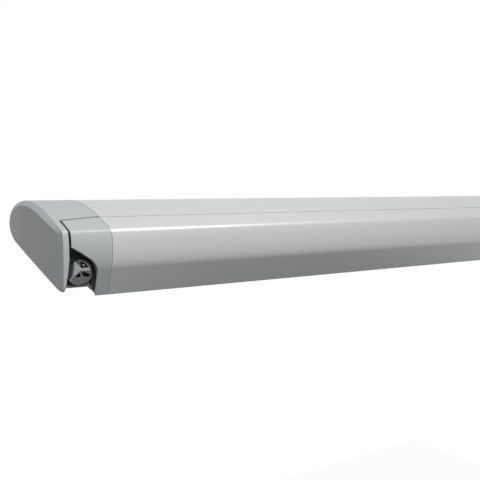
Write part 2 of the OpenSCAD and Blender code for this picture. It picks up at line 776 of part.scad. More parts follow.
module shoulder_pins() {
    color("silver") seat() for (side = ["left", "right"]) sided(side) arm_frame() {
        rod_z(shoulder_pin_r, -shoulder_lug - lug_t, shoulder_lug + lug_t);
        rod_z(shoulder_pin_r + 3, shoulder_lug + lug_t, shoulder_lug + lug_t + 2.5);
    }
}

// Lead rail
rail_rear_y = 41;
leg_y = 28.8;
leg_z = -58;
web_z = -38;
web_front_y = -3.6;
keder_at = [36, 5.4];
keder_r = keder_d / 2;
module keder_groove() {
    difference() {
        union() {
            translate(keder_at) circle(keder_r + slip + 1.9);
            translate(keder_at + [-3, 3]) square([4.4, 3.5]);
            translate([rail_rear_y - 4, keder_at[1] - 5.2]) square([4 + profile_wall, 2.6]);
        }
        translate(keder_at) circle(keder_r + slip);
        translate(keder_at) rotate(fabric_angle) translate([0, -slip - fabric_t / 2])
            square([12, 2 * slip + fabric_t]);
    }
}
module lead_rail_profile() {
    color("silver") seat() difference() {
        union() {
            along_x(-seam_x, seam_x)
                band(concat(slice(rail_path, 0, len(rail_path) - 2),
                    [seam - [seam_gap / 2, seam_gap * 0.19]]), profile_wall);
            // rear wall, and the roof of the leg channel below it
            box([-seam_x, rail_rear_y, -64], [seam_x, rail_rear_y + profile_wall, 2.5]);
            box([-seam_x, web_front_y, web_z], [seam_x, rail_rear_y + 0.2, web_z + profile_wall]);
            along_x(-seam_x, seam_x) keder_groove();
            for (p = rail_channels) along_x(-seam_x, seam_x) screw_channel(p);
        }
        for (side = ["left", "right"]) sided(side) for (p = wrist_bolts)
            translate([-shoulder_x + p[0], 0, p[1]])
                rod_y(wrist_bolt_r + slip / 2, rail_rear_y - 1, rail_rear_y + 4);
    }
}

// Caps of the lead rail. The edge of the crank's cut-out is given by its
// distance from the seam and its height.
cutout_edge = concat([[41.3, -28.5]], bez([30.4, -36], [22.5, -41.4], [18.6, -49], [18.4, -58], 5),
    [[17.9, -70], [16.6, -95]]);
cutout = concat([[-half, -19], [-cheek_x + 0.1, -19]],
    [for (p = cutout_edge) [-seam_x - p[0], p[1]]], [[-half, -95]]);
rail_cap_wall = 3;
cutout_wall = 2.4;
module lead_cap_blank() {
    difference() {
        union() {
            along_x(-cheek_x + cap_gap, -seam_x - 0.2)
                band(rail_path, rail_cap_wall);
            // end wall that the screws clamp to the profile
            along_x(-seam_x - rail_cap_wall, -seam_x - 0.2)
                polygon(concat([[-2, web_z], [rail_rear_y - 1, web_z], [rail_rear_y - 1, 3],
                    seam - [0, 1.5]], backwards(shifted(slice(rail_path, 8, len(rail_path) - 2), 1))));
        }
        // rear edge that follows the gap
        translate([0, 0, -100]) linear_extrude(200) difference() {
            translate([-half - 1, -30]) square([half, 100]);
            rail_cap_plan(0);
        }
        for (p = rail_channels) at_yz(p)
            rod_x(core_r + slip, -seam_x - rail_cap_wall - 1, -seam_x + 1);
    }
}
module lead_cap_left() {
    color("lightgray") seat() {
        difference() {
            lead_cap_blank();
            along_y(-30, 60) polygon(cutout);
        }
        // wall that runs back from the edge of the cut-out
        intersection() {
            along_y(-10, 8) band(slice(cutout, 1, len(cutout) - 2), -cutout_wall);
            along_x(-cheek_x + cap_gap, -seam_x - 0.2)
                polygon(concat(shifted(rail_path, 1), [[60, 10], [60, -86]]));
        }
    }
}
module lead_cap_right() {
    color("lightgray") seat() mirror([1, 0, 0]) lead_cap_blank();
}

// Wrist brackets on the back of the lead rail
wrist_bolt_r = 2.5;
wrist_bolts = [[-20.5, -11], [20.5, -11], [-20.5, -24], [20.5, -24]];
wrist_base = 25.5;
wrist_lug = wrist_h / 2 + slip;
wrist_base_t = 4.6;
wrist_face_y = rail_rear_y + profile_wall;
module wrist_brackets() {
    color("gray") seat() for (side = ["left", "right"]) sided(side) difference() {
        union() {
            arm_frame() for (z = [-wrist_lug - 5.6, wrist_lug]) translate([0, -arm_pitch, 0]) {
                rod_z(13, z, z + 5.6);
                box([-13, -30, z], [13, 0, z + 5.6]);
            }
            box([-shoulder_x - wrist_base, wrist_face_y, -52],
                [-shoulder_x + wrist_base, wrist_face_y + wrist_base_t, -5]);
        }
        arm_frame() translate([0, -arm_pitch, 0]) rod_z(pin_r + running, -30, 30);
        box([-seam_x, -20, -100], [-seam_x + 100, wrist_face_y, 50]);
        for (p = wrist_bolts) translate([-shoulder_x + p[0], 0, p[1]])
            rod_y(wrist_bolt_r + slip / 2, wrist_face_y - 1, wrist_face_y + 10);
    }
}
module lead_rail_screws() {
    color("silver") seat() for (side = ["left", "right"]) sided(side) {
        for (p = rail_channels) at_yz(p)
            translate([-seam_x - rail_cap_wall, 0, 0]) rotate([0, 90, 0]) screw(24);
        for (p = wrist_bolts)
            translate([-shoulder_x + p[0], wrist_face_y + wrist_base_t, p[1]]) rotate([90, 0, 0]) {
                cylinder(r = wrist_bolt_r, h = wrist_base_t + profile_wall + 1.5);
                translate([0, 0, -2.6]) cylinder(r = 4.2, h = 2.6);
            }
    }
}
leg_x = seam_x - 49;
leg_pin_r = leg_pin_d / 2;
module rail_pins() {
    color("silver") seat() for (side = ["left", "right"]) sided(side) {
        arm_frame() translate([0, -arm_pitch, 0]) {
            rod_z(pin_r, -wrist_lug - 5.6, wrist_lug + 5.6);
            rod_z(pin_r + 2.5, wrist_lug + 5.6, wrist_lug + 7.6);
        }
        translate([-leg_x, 0, leg_z]) rod_y(leg_pin_r, lug_low, lug_high);
    }
}
module fabric_keder() {
    color("slategray") seat() at_yz(keder_at)
        rod_x(keder_r, -fabric_half, fabric_half);
}

// Hinge blocks at the ends of the leg channel, clear of the crank eye, with two
// round ribs on the slanted end of each
eye_clear = 1;
block_reach = crank_x - seam_x - eye_r - eye_clear;
block_low = rail_bottom[1] + 2.1;
block_top = web_z - 0.5;
block_rear = rail_rear_y - 0.6;
slant = [[block_reach, -73], [block_reach - 8, block_low]];
rib_r = 1.7;
lug_gap = leg_w / 2 + slip;
lug_low = leg_y - lug_gap - 3;
lug_high = leg_y + lug_gap + 2.6;
block_end = leg_x + leg_h / 2 + 3.5;
module leg_hinge_block() {
    difference() {
        along_x(-seam_x - block_reach, -block_end)
            polygon([[lug_low + 1.5, block_low], [26, block_low], [block_rear, block_low + 6],
                [block_rear, block_top], [lug_low, block_top], [lug_low, block_low + 12.6]]);
        along_y(0, 60) polygon([for (p = concat(slant,
            [slant[1] - [0, 2], slant[1] + [10, -2], slant[0] + [2, 0]])) [-seam_x - p[0], p[1]]]);
    }
    for (t = [0.45, 0.8]) translate([-seam_x - slant[0][0] + 8 * t, 0,
        slant[0][1] + (slant[1][1] - slant[0][1]) * t]) rod_y(rib_r, lug_low + 2, 26);
    for (y = [[lug_low, leg_y - lug_gap], [leg_y + lug_gap, lug_high]])
        box([-block_end - 1, y[0], leg_z - 13], [-leg_x + 11, y[1], block_top]);
}
module leg_hinge_blocks() {
    color([0.1, 0.1, 0.1]) seat() for (side = ["left", "right"]) sided(side) difference() {
        leg_hinge_block();
        translate([-leg_x, 0, leg_z]) rod_y(leg_pin_r + running, 0, 60);
    }
}

// Strip of fabric from the top of the roll to the lead rail's groove
fabric_run = roller_axis - keder_at;
tangent_r = roll_d / 2 + slip + fabric_t / 2;
fabric_reach = sqrt(fabric_run * fabric_run - tangent_r * tangent_r);
fabric_angle = atan2(fabric_run[1], fabric_run[0]) + asin(tangent_r / norm(fabric_run));
module canopy_fabric() {
    color("slategray") seat() along_x(-fabric_half, fabric_half)
        translate(keder_at) rotate(fabric_angle)
            translate([keder_r + slip, -fabric_t / 2])
                square([fabric_reach - keder_r - slip, fabric_t]);
}

// Legs, drawn stowed along the left half of the rail
clamp_length = 40;
clamp_wall = 1.5;
inner_w = leg_w - 2 * leg_wall - 2 * slip;
inner_h = leg_h - 2 * leg_wall - 2 * slip;
inner_wall = 1.2;
foot_reach = 52;
foot_pivot = leg_x - foot_spacing / 2;
leg_length = foot_pivot - foot_reach;
leg_head = 8;
module leg_frame() {
    translate([-leg_x, leg_y, leg_z]) children();
}
module leg_outer(side) {
    color("silver") seat() sided(side) leg_frame() difference() {
        along_x(-leg_head, leg_length) rounded(leg_w, leg_h, 3);
        along_x(24, leg_length + 1) rounded(leg_w - 2 * leg_wall, leg_h - 2 * leg_wall, 1.5);
        rod_y(leg_pin_r + running, -30, 30);
    }
}
module leg_clamp(side) {
    color([0.1, 0.1, 0.1]) seat() sided(side) leg_frame() {
        difference() {
            along_x(leg_length - clamp_length / 2, leg_length + clamp_length / 2)
                rounded(leg_w + 2 * clamp_wall, leg_h + 2 * clamp_wall, 4);
            along_x(leg_length - clamp_length, leg_length)
                square([leg_w + 0.02, leg_h + 0.02], center = true);
            along_x(leg_length - 1, leg_length + clamp_length)
                square([inner_w + 2 * slip, inner_h + 2 * slip], center = true);
            // slot for the lever's cam
            box([leg_length - 12, -lever_w / 2 - slip, -leg_h / 2 - 6],
                [leg_length + 12, lever_w / 2 + slip, -leg_h / 2 - clamp_wall + 0.7]);
        }
        for (y = [-lever_w / 2 - slip - 2, lever_w / 2 + slip]) difference() {
            box([leg_length + 2, y, -leg_h / 2 - clamp_wall - 6],
                [leg_length + 14, y + 2, -leg_h / 2 - 0.5]);
            translate([leg_length + 8, 0, lever_z]) rod_y(1.5 + running, -20, 20);
        }
    }
}
lever_w = 12;
lever_z = -leg_h / 2 - clamp_wall - 3.4;
module leg_lever(side) {
    color([0.85, 0.2, 0.1]) seat() sided(side) leg_frame()
        translate([leg_length + 8, 0, lever_z]) {
            rod_y(2.6, -lever_w / 2, lever_w / 2);
            box([-40, -lever_w / 2, -2.4], [0, lever_w / 2, 1.4]);
            rod_y(1.5, -lever_w / 2 - slip - 2, lever_w / 2 + slip + 2);
        }
}
module leg_inner(side) {
    color("gainsboro") seat() sided(side) leg_frame() difference() {
        union() {
            along_x(40, foot_pivot - 16) difference() {
                rounded(inner_w, inner_h, 1.5);
                rounded(inner_w - 2 * inner_wall, inner_h - 2 * inner_wall, 0.6);
            }
            box([foot_pivot - 40, (inner_wall - inner_w) / 2, (inner_wall - inner_h) / 2],
                [foot_pivot - 16.5, (inner_w - inner_wall) / 2, (inner_h - inner_wall) / 2]);
            box([foot_pivot - 17, -3.5, -8], [foot_pivot, 3.5, 8]);
            translate([foot_pivot, 0, 0]) rod_y(8, -3.5, 3.5);
        }
        translate([foot_pivot, 0, 0]) rod_y(3 + running, -10, 10);
    }
}
foot_w = 20;
foot_plate_t = 7;
foot_drop = 17.5;
foot_ear = 3.5 + slip + 3;
module leg_foot(side) {
    color([0.1, 0.1, 0.1]) seat() sided(side) leg_frame() translate([foot_pivot, 0, 0]) {
        along_z(-foot_drop - foot_plate_t, -foot_drop) rounded(foot_length, foot_w, 6);
        for (y = [-foot_ear, foot_ear - 3]) {
            rod_y(7, y, y + 3);
            box([-7, y, -foot_drop - 1], [7, y + 3, 0]);
        }
        rod_y(3, -foot_ear, foot_ear);
    }
}
module left_leg_outer() leg_outer("left");
module left_leg_clamp() leg_clamp("left");
module left_leg_lever() leg_lever("left");
module left_leg_inner() leg_inner("left");
module left_leg_foot() leg_foot("left");
module right_leg_outer() leg_outer("right");
module right_leg_clamp() leg_clamp("right");
module right_leg_lever() leg_lever("right");
module right_leg_inner() leg_inner("right");
module right_leg_foot() leg_foot("right");

housing_profile();
housing_cap_left();
housing_cap_right();
housing_screws();
end_frame_left();
end_frame_right();
slot_nuts();
floor_seal();
plain_bushes();
gearbox_body();
gearbox_cover();
shoulder_bracket_left();
shoulder_bracket_right();
shoulder_bracket_bolts();
shoulder_pins();
roller_tube();
roller_plug_left();
roller_plug_right();
worm_wheel();
fabric_roll();
crank_eye();
crank_eye_pin();
worm_shaft();
left_shoulder_knuckle();
left_upper_arm_tube();
left_elbow_fork();
left_elbow_pin();
left_arm_spring();
left_elbow_tongue();
left_forearm_tube();
left_wrist_knuckle();
right_shoulder_knuckle();
right_upper_arm_tube();
right_elbow_fork();
right_elbow_pin();
right_arm_spring();
right_elbow_tongue();
right_forearm_tube();
right_wrist_knuckle();
lead_rail_profile();
lead_cap_left();
lead_cap_right();
lead_rail_screws();
wrist_brackets();
rail_pins();
fabric_keder();
leg_hinge_blocks();
canopy_fabric();
left_leg_outer();
left_leg_clamp();
left_leg_lever();
left_leg_inner();
left_leg_foot();
right_leg_outer();
right_leg_clamp();
right_leg_lever();
right_leg_inner();
right_leg_foot();
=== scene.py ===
"""Roll out awning for a caravan or camper: the visible pieces and finishes around its CAD model.

X runs along the cassette from the crank end, -Y is the side that rolls out and +Z is up.
Sections are given in Y and Z millimetres from the crease along the lead rail's top edge.
"""

import json
import math
from contextlib import contextmanager

import bmesh
import bpy
import numpy as np
from bpy.props import FloatProperty, FloatVectorProperty, IntProperty, PointerProperty
from mathutils import Matrix, Vector


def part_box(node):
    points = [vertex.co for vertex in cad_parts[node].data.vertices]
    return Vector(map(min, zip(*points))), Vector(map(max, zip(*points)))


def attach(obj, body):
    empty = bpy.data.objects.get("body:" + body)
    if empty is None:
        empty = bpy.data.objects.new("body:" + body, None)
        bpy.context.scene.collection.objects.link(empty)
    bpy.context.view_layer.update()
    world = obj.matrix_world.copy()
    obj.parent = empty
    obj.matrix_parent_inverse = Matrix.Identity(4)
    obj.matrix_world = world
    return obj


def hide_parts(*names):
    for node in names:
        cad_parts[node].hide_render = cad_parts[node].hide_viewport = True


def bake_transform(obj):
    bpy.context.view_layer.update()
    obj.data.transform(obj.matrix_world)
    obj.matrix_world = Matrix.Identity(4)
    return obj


bl_info = {
    "name": "Roll out awning",
    "version": (1, 0, 0),
    "blender": (4, 5, 0),
    "location": "3D View > Sidebar > Awning",
    "description": "Builds the visible pieces and finishes of a roll out awning",
    "category": "Add Mesh",
}

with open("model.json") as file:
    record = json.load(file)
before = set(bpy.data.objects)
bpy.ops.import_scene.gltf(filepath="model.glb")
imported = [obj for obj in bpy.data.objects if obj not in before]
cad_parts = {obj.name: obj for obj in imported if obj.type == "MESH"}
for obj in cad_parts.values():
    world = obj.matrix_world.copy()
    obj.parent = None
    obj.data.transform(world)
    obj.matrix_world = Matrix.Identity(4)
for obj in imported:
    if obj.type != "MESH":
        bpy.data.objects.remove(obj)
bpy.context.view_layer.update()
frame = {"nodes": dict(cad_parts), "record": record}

MM = 0.001
# The foot's middle and underside in the section, which are the part's own Y and Z zero
FOOT_Y, FOOT_Z = 165, -58
# Turns of the surface above this many degrees are shaded as edges
SHARP = 32
# Points closer than this, in metres, are one
SAME = 0.00001
FINE_SAME = 0.000002


def linear(code):
    """The linear colour of an sRGB hex value."""
    parts = [int(code[i : i + 2], 16) / 255 for i in (1, 3, 5)]
    return tuple(p / 12.92 if p <= 0.04045 else ((p + 0.055) / 1.055) ** 2.4 for p in parts)


def colour(name, description, code):
    return FloatVectorProperty(
        name=name, description=description, subtype="COLOR", size=3, min=0, max=1, default=linear(code)
    )


def length(name, description, millimetres):
    return FloatProperty(
        name=name,
        description=description,
        subtype="DISTANCE",
        unit="LENGTH",
        min=0,
        precision=5,
        default=millimetres * MM,
    )


class AwningSizes(bpy.types.PropertyGroup):
    cap_wall: length("Cap wall", "Wall of the plastic end caps", 3)
    profile_wall: length("Profile wall", "Wall of the aluminium profiles", 2.2)
    edge_round: length("Edge rounding", "Radius on the rims of the moulded caps", 0.6)
    chamfer: length("Cheek chamfer", "Depth of the bevel round the outer face of an end cap", 6)
    cheek_fall: length("Cheek fall", "How far an end cap's outer face falls back at its rear", 5.5)
    casting_round: length("Casting rounding", "Radius on the edges of the castings", 1.2)
    moulding_round: length("Moulding rounding", "Radius on the edges of the small moulded fittings", 0.7)
    fabric_thickness: length("Fabric thickness", "Thickness of the coated awning fabric", 0.45)
    stripe_pitch: length("Stripe pitch", "Distance between two wide stripes of the fabric", 160)
    screw_recess: length("Screw recess", "Diameter of the recess in a screw head", 4.2)
    roll_turns: IntProperty(
        name="Turns on the roll", description="Turns of fabric on the roller", min=4, max=16, default=11
    )


class AwningColours(bpy.types.PropertyGroup):
    aluminium: colour("Profiles", "Satin anodised aluminium of the cassette and lead rail", "#c6c8c8")
    arms: colour("Arm tubes", "Anodised aluminium of the arms and legs", "#b9bbbd")
    plastic: colour("End caps", "Cool light grey of the moulded caps", "#b3b8b8")
    casting: colour("Castings", "Grey powder coat of the cast joints", "#8b8e90")
    # Darker than bright chrome: painted shade from the recess round the crank eye
    chrome_with_painted_shade: colour("Crank eye", "Chromed surface of the crank eye", "#979899")
    black: colour("Black fittings", "Black nylon fittings", "#1c1d1e")
    lever: colour("Levers", "Red nylon of the clamp levers", "#b0281c")
    cloth: colour("Fabric", "Ground colour of the awning fabric", "#a9adb0")
    stripe: colour("Stripes", "Stripe colour of the awning fabric", "#7d8388")


# The section of the closed awning


def bezier(a, b, c, d, steps):
    a, b, c, d = (np.array(p, float) for p in (a, b, c, d))
    t = np.linspace(0, 1, steps + 1)[:, None]
    s = 1 - t
    return a * s**3 + 3 * b * s**2 * t + 3 * c * s * t**2 + d * t**3


def joined(*paths):
    """Paths that follow each other, without the points that they share."""
    points = [paths[0]]
    for path in paths[1:]:
        points.append(path[1:] if np.allclose(points[-1][-1], path[0]) else path)
    return np.vstack(points)


def floor_z(y):
    return -28 + (y - 195) * math.tan(math.radians(15.1))


def on_floor(y):
    return np.array([y, floor_z(y)])


# Along X from the middle: the end, the seam of aluminium and plastic, and the cheek's inner face
HALF = 1300
SEAM_X = 1229
CHEEK_X = 1286.3
# Section points
SEAM = (38, 14.6)
CROWN = (142, 35.5)
NOSE = (229, -1)
FLOOR_REAR = (195, -28)
RAIL_BOTTOM = (15.4, -86.7)
RAIL_BEND = (-0.3, -51)
CREASE_LOW = (-2.3, -3.2)
CREASE_HIGH = (3.4, 1.35)
CHIN_LOW = (4, -76.5)
CHIN_FRONT = (-3, -66)
# Front edges of the aluminium floor and of the cap's floor, and the gap's end on the flange
FLOOR_FRONT_Y = 47
FLOOR_END_Y = 21
GAP_END_Y = 28.9
# Gaps beside and above the lead rail's cap, along the seam of the two profiles, and between cap and profile
CAP_GAP = 2.7
TOP_GAP = 4
SEAM_GAP = 0.6
END_GAP = 0.2
# Room along X for the leg's hinge block
BLOCK_ROOM = 23.5
# How much the cheek narrows at the chin and from where down, and where its outer face starts to fall back
CHIN_TAPER = 5
CHIN_TOP_Z = -34
REAR_FALL_Y = 130
# The cheek's front bevel: its stretch along Y, its share of the even one, its reach and the fall of the face
FRONT_BEVEL = 2.5
FRONT_PULL = 0.7
FRONT_REACH = 55
FRONT_FALL = 4.2
# The lead rail's rear wall and shelf
RAIL_REAR_Y = 41
SHELF_Z = -38
# The crank: its middle along X, the centre of its eye and the slope of its shaft
CRANK_X = 1267.5
CRANK_Y, CRANK_Z = 10, -53.5
SHAFT_TILT = math.radians(11.3373)

RAIL_FOOT = joined(np.linspace(RAIL_BOTTOM, RAIL_BEND, 12))
FRONT_HANDLES = ((-5.2, -40), (-8, -15))
FRONT = bezier(RAIL_BEND, *FRONT_HANDLES, CREASE_LOW, 40)
CREASE = bezier(CREASE_LOW, (-1.3, -1.2), (0.6, 0.3), CREASE_HIGH, 14)
FLANGE_HANDLES = ((14, 5.6), (26, 10.2))
FLANGE = bezier(CREASE_HIGH, *FLANGE_HANDLES, SEAM, 24)
TOP = bezier(SEAM, (66, 24.8), (102, 35.5), CROWN, 44)
REAR = bezier(CROWN, (185, 35.5), (229, 22), NOSE, 44)
NOSE_CURVE = bezier(NOSE, (229, -12), (213, floor_z(213)), FLOOR_REAR, 24)
CHIN = bezier(on_floor(36), (20, floor_z(20)), (14, -76.5), CHIN_LOW, 12)
LIP = bezier(CHIN_LOW, (-1, -76.5), (-3, -72), CHIN_FRONT, 12)
CHEEK_FRONT = bezier(CHIN_FRONT, (-5, -45), (-6.4, -14), CREASE_LOW, 24)
FLOOR = joined(np.linspace(FLOOR_REAR, on_floor(36), 20))


def point(x, p):
    """A point of the part from its place along X and its section point, in metres."""
    return Vector((x, p[0] - FOOT_Y, p[1] - FOOT_Z)) * MM


def normals_2d(path, closed):
    """Unit normals to the right of a path, at its points."""
    if closed:
        step = np.roll(path, -1, 0) - np.roll(path, 1, 0)
    else:
        step = np.gradient(path, axis=0)
    step /= np.linalg.norm(step, axis=1)[:, None]
    return np.stack([step[:, 1], -step[:, 0]], 1)


def inset(outline, distance):
    """A convex outline moved inwards, with points that would cross each other put on the corner between."""
    if distance <= 0:
        return outline.copy()
    normals = normals_2d(outline, closed=True)
    moved = outline + normals * distance
    start, end = outline, np.roll(outline, -1, 0)
    along = end - start
    size = np.maximum((along**2).sum(1), 1e-12)
    reach = moved[:, None] - start[None]
    share = np.clip((reach * along).sum(2) / size, 0, 1)
    away = np.linalg.norm(reach - share[..., None] * along, axis=2).min(1)
    good = away > distance * 0.998 - 1e-4
    count = len(outline)
    first = int(np.argmax(good))
    k = first
    while k < first + count:
        if good[k % count]:
            k += 1
            continue
        run = k
        while not good[run % count]:
            run += 1
        a, b = (k - 1) % count, run % count
        ta, tb = ([n[1], -n[0]] for n in (-normals[a], -normals[b]))
        system = np.array([[ta[0], -tb[0]], [ta[1], -tb[1]]])
        if abs(np.linalg.det(system)) > 1e-6:
            s = np.linalg.solve(system, moved[b] - moved[a])[0]
            corner = moved[a] + s * np.array(ta)
        else:
            corner = (moved[a] + moved[b]) / 2
        for j in range(k, run):
            moved[j % count] = corner
        k = run
    return moved


# Meshes


def new_object(name, mesh):
    made = bpy.data.objects.new(name, mesh)
    bpy.context.scene.collection.objects.link(made)
    return made


def grid_faces(rows, columns, wrap=False):
    faces = []
    for start in range(0, (rows - 1) * columns, columns):
        for c in range(columns if wrap else columns - 1):
            after = (c + 1) % columns
            faces.append((start + c, start + after, start + columns + after, start + columns + c))
    return faces


def mesh_from(name, vertices, faces):
    mesh = bpy.data.meshes.new(name)
    mesh.from_pydata([tuple(v) for v in vertices], [], faces)
    mesh.validate()
    return mesh


@contextmanager
def opened(mesh):
    """A mesh open for edits, which are written back to it at the end."""
    work = bmesh.new()
    work.from_mesh(mesh)
    yield work
    work.to_mesh(mesh)
    work.free()


def edged(mesh):
    """The mesh with its sharp edges marked."""
    mesh.set_sharp_from_angle(angle=math.radians(SHARP))
    return mesh


def smoothed(mesh):
    """The mesh shaded smooth but for its sharp edges."""
    mesh.shade_smooth()
    return edged(mesh)


def tidy_mesh(mesh, merge=SAME):
    """Merges doubles, turns the faces outwards and shades them."""
    with opened(mesh) as work:
        bmesh.ops.remove_doubles(work, verts=work.verts, dist=merge)
        bmesh.ops.dissolve_degenerate(work, edges=work.edges, dist=merge / 4)
        bmesh.ops.recalc_face_normals(work, faces=work.faces)
    return smoothed(mesh)


def closed_loft(name, rings):
    """A closed solid from rings of as many points each, with a flat face at both ends."""
    count = len(rings[0])
    vertices = [v for ring in rings for v in ring]
    faces = grid_faces(len(rings), count, wrap=True)
    faces.append(tuple(range(count))[::-1])
    faces.append(tuple(range((len(rings) - 1) * count, len(rings) * count)))
    return tidy_mesh(mesh_from(name, vertices, faces))


def box_outline(y0, y1, z0, z1):
    return np.array([(y0, z0), (y1, z0), (y1, z1), (y0, z1)])


def rail_solid(name, outline, x0, x1):
    """An outline in Y and Z pulled along X."""
    return closed_loft(name, [[point(x, p) for p in outline] for x in (x0, x1)])


def modify(made, kind, **settings):
    modifier = made.modifiers.new(kind.lower(), kind)
    for name, value in settings.items():
        setattr(modifier, name, value)
    return modifier


def baked(made):
    """The mesh of an object with its modifiers in it; the object is used up."""
    graph = bpy.context.evaluated_depsgraph_get()
    mesh = bpy.data.meshes.new_from_object(made.evaluated_get(graph))
    old = made.data
    bpy.data.objects.remove(made)
    bpy.data.meshes.remove(old)
    return mesh


def joined_mesh(name, meshes):
    """One mesh out of several, with its sharp edges marked."""
    mesh = bpy.data.meshes.new(name)
    with opened(mesh) as work:
        for part in meshes:
            work.from_mesh(part)
    for part in meshes:
        bpy.data.meshes.remove(part)
    return edged(mesh)


def moulded_sheet(name, rows, thickness, rounding):
    """A wall of even thickness behind a surface that is given as rows of points, with rounded rims."""
    vertices = [v for row in rows for v in row]
    made = new_object(name, mesh_from(name, vertices, grid_faces(len(rows), len(rows[0]))))
    modify(made, "SOLIDIFY", thickness=thickness, offset=-1, use_even_offset=True)
    mesh = baked(made)
    with opened(mesh) as work:
        bmesh.ops.recalc_face_normals(work, faces=work.faces)
    made = new_object(name, mesh)
    modify(
        made,
        "BEVEL",
        width=rounding,
        segments=3,
        limit_method="ANGLE",
        angle_limit=math.radians(50),
        use_clamp_overlap=False,
        miter_outer="MITER_ARC",
    )
    return tidy_mesh(baked(made))


def piece(name, mesh, body, slot, replaced):
    """A finished piece in its place, riding on its body, for the part that it replaces."""
    made = new_object(name, mesh)
    mesh.materials.clear()
    mesh.materials.append(FINISHES[slot])
    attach(made, body)
    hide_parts(replaced)


def cut(mesh, cutters):
    """The mesh without the space of the cutters, which are used up."""
    target = new_object("cut_target", mesh)
    tools = [new_object("cutter", cutter) for cutter in cutters]
    for tool in tools:
        modify(target, "BOOLEAN", operation="DIFFERENCE", solver="EXACT", object=tool)
    result = baked(target)
    for tool in tools:
        bpy.data.objects.remove(tool)
    return result


def cylinder(start, end, radius, count=48):
    """A closed cylinder between two points, in metres."""
    axis = (end - start).normalized()
    side = axis.orthogonal().normalized()
    other = axis.cross(side)
    rings = []
    for centre in (start, end):
        turns = [2 * math.pi * k / count for k in range(count)]
        rings.append([centre + radius * (math.cos(t) * side + math.sin(t) * other) for t in turns])
    return closed_loft("cylinder", rings)


# Finishes


def add(tree, kind, settings=None, **inputs):
    """Adds one node with its settings, and sets or links its inputs, whose names have _ for a space."""
    made = tree.nodes.new(kind)
    for name, value in (settings or {}).items():
        setattr(made, name, value)
    for name, value in inputs.items():
        key = int(name[1:]) if name[1:].isdigit() else name.replace("_", " ")
        socket = made.inputs[key]
        if isinstance(value, bpy.types.NodeSocket):
            tree.links.new(value, socket)
        else:
            socket.default_value = value
    return made


def maths(tree, operation, first, second):
    return add(tree, "ShaderNodeMath", {"operation": operation}, _0=first, _1=second).outputs[0]


def mixed(tree, share, first, second, blend="MIX"):
    """The mix of two colours."""
    settings = {"data_type": "RGBA", "blend_type": blend}
    return add(tree, "ShaderNodeMix", settings, _0=share, _6=first, _7=second).outputs[2]


def ranged(tree, value, source=(0, 1), target=(0, 1)):
    """A value moved from one range to another."""
    ends = {"From_Min": source[0], "From_Max": source[1], "To_Min": target[0], "To_Max": target[1]}
    return add(tree, "ShaderNodeMapRange", Value=value, **ends).outputs[0]


def new_material(name):
    """A material and its empty node tree."""
    material = bpy.data.materials.new(name)
    material.use_nodes = True
    material.node_tree.nodes.clear()
    return material, material.node_tree


def shaded(material, **inputs):
    """The material with one principled surface of these inputs."""
    tree = material.node_tree
    shader = add(tree, "ShaderNodeBsdfPrincipled", **inputs)
    add(tree, "ShaderNodeOutputMaterial", Surface=shader.outputs["BSDF"])
    return material


def shades(tone, spread):
    """Two tones a little below and above one."""
    low = tuple(max(0.0, c * (1 - spread)) for c in tone)
    high = tuple(min(1.0, c * (1 + spread)) for c in tone)
    return (*low, 1), (*high, 1)


def finish_material(name, tone, metallic, roughness, grain, drawn, spread, bump, cloud):
    """A finish of fine grain over slow changes of tone.

    grain and cloud are the sizes in millimetres of the fine and the slow pattern, drawn stretches the fine
    one along X, roughness is its lowest and highest value, and bump is the grain's height in millimetres.
    """
    material, tree = new_material(name)
    place = add(tree, "ShaderNodeTexCoord").outputs["Object"]
    along = add(tree, "ShaderNodeMapping", Vector=place, Scale=(1 / drawn, 1, 1)).outputs["Vector"]
    fine = add(tree, "ShaderNodeTexNoise", Vector=along, Scale=1 / (grain * MM), Detail=2.0, Roughness=0.6)
    slow = add(tree, "ShaderNodeTexNoise", Vector=place, Scale=1 / (cloud * MM), Detail=3.0)
    fine, slow = fine.outputs["Fac"], slow.outputs["Fac"]
    tint = mixed(tree, slow, *shades(tone, spread))
    grained = mixed(tree, fine, shades((1, 1, 1), spread / 2)[0], (1, 1, 1, 1))
    relief = add(tree, "ShaderNodeBump", Height=fine, Strength=0.5, Distance=bump * MM)
    return shaded(
        material,
        Base_Color=mixed(tree, 1.0, tint, grained, "MULTIPLY"),
        Metallic=metallic,
        Roughness=ranged(tree, fine, target=roughness),
        Normal=relief.outputs["Normal"],
    )


# Yarns are 0.5 mm apart in the real weave, drawn 2 mm apart so that they show
YARN_PITCH = 2 * MM


def cloth_material(name, ground, stripe, pitch):
    """Solution-dyed acrylic weave with a coating: soft, no gloss, plain tonal stripes along the run."""
    material, tree = new_material(name)
    place = add(tree, "ShaderNodeTexCoord").outputs["UV"]
    split = add(tree, "ShaderNodeSeparateXYZ", Vector=place).outputs

    def wave(axis, period):
        return maths(tree, "SINE", maths(tree, "MULTIPLY", split[axis], 2 * math.pi / period), 0.0)

    # A wide stripe with a narrow one on each side
    total = maths(tree, "ADD", wave("X", pitch), wave("X", pitch / 3))
    edge = ranged(tree, total, source=(0.3, 0.36))
    striped = mixed(tree, edge, (*ground, 1), (*stripe, 1))
    weave = maths(tree, "MULTIPLY", wave("X", YARN_PITCH), wave("Y", YARN_PITCH))
    level = ranged(tree, weave, source=(-1, 1))
    yarn = mixed(tree, level, (0.86, 0.86, 0.86, 1), (1, 1, 1, 1))
    relief = add(tree, "ShaderNodeBump", Height=level, Strength=0.4, Distance=0.1 * MM)
    return shaded(
        material,
        Base_Color=mixed(tree, 1.0, striped, yarn, "MULTIPLY"),
        Roughness=0.82,
        Sheen_Weight=0.2,
        Normal=relief.outputs["Normal"],
    )


# The finish of each material slot, and the slot of each part
FINISHES = {}
SLOTS = {part["node"]: part["material_slot"] for part in frame["record"]["subparts"]}


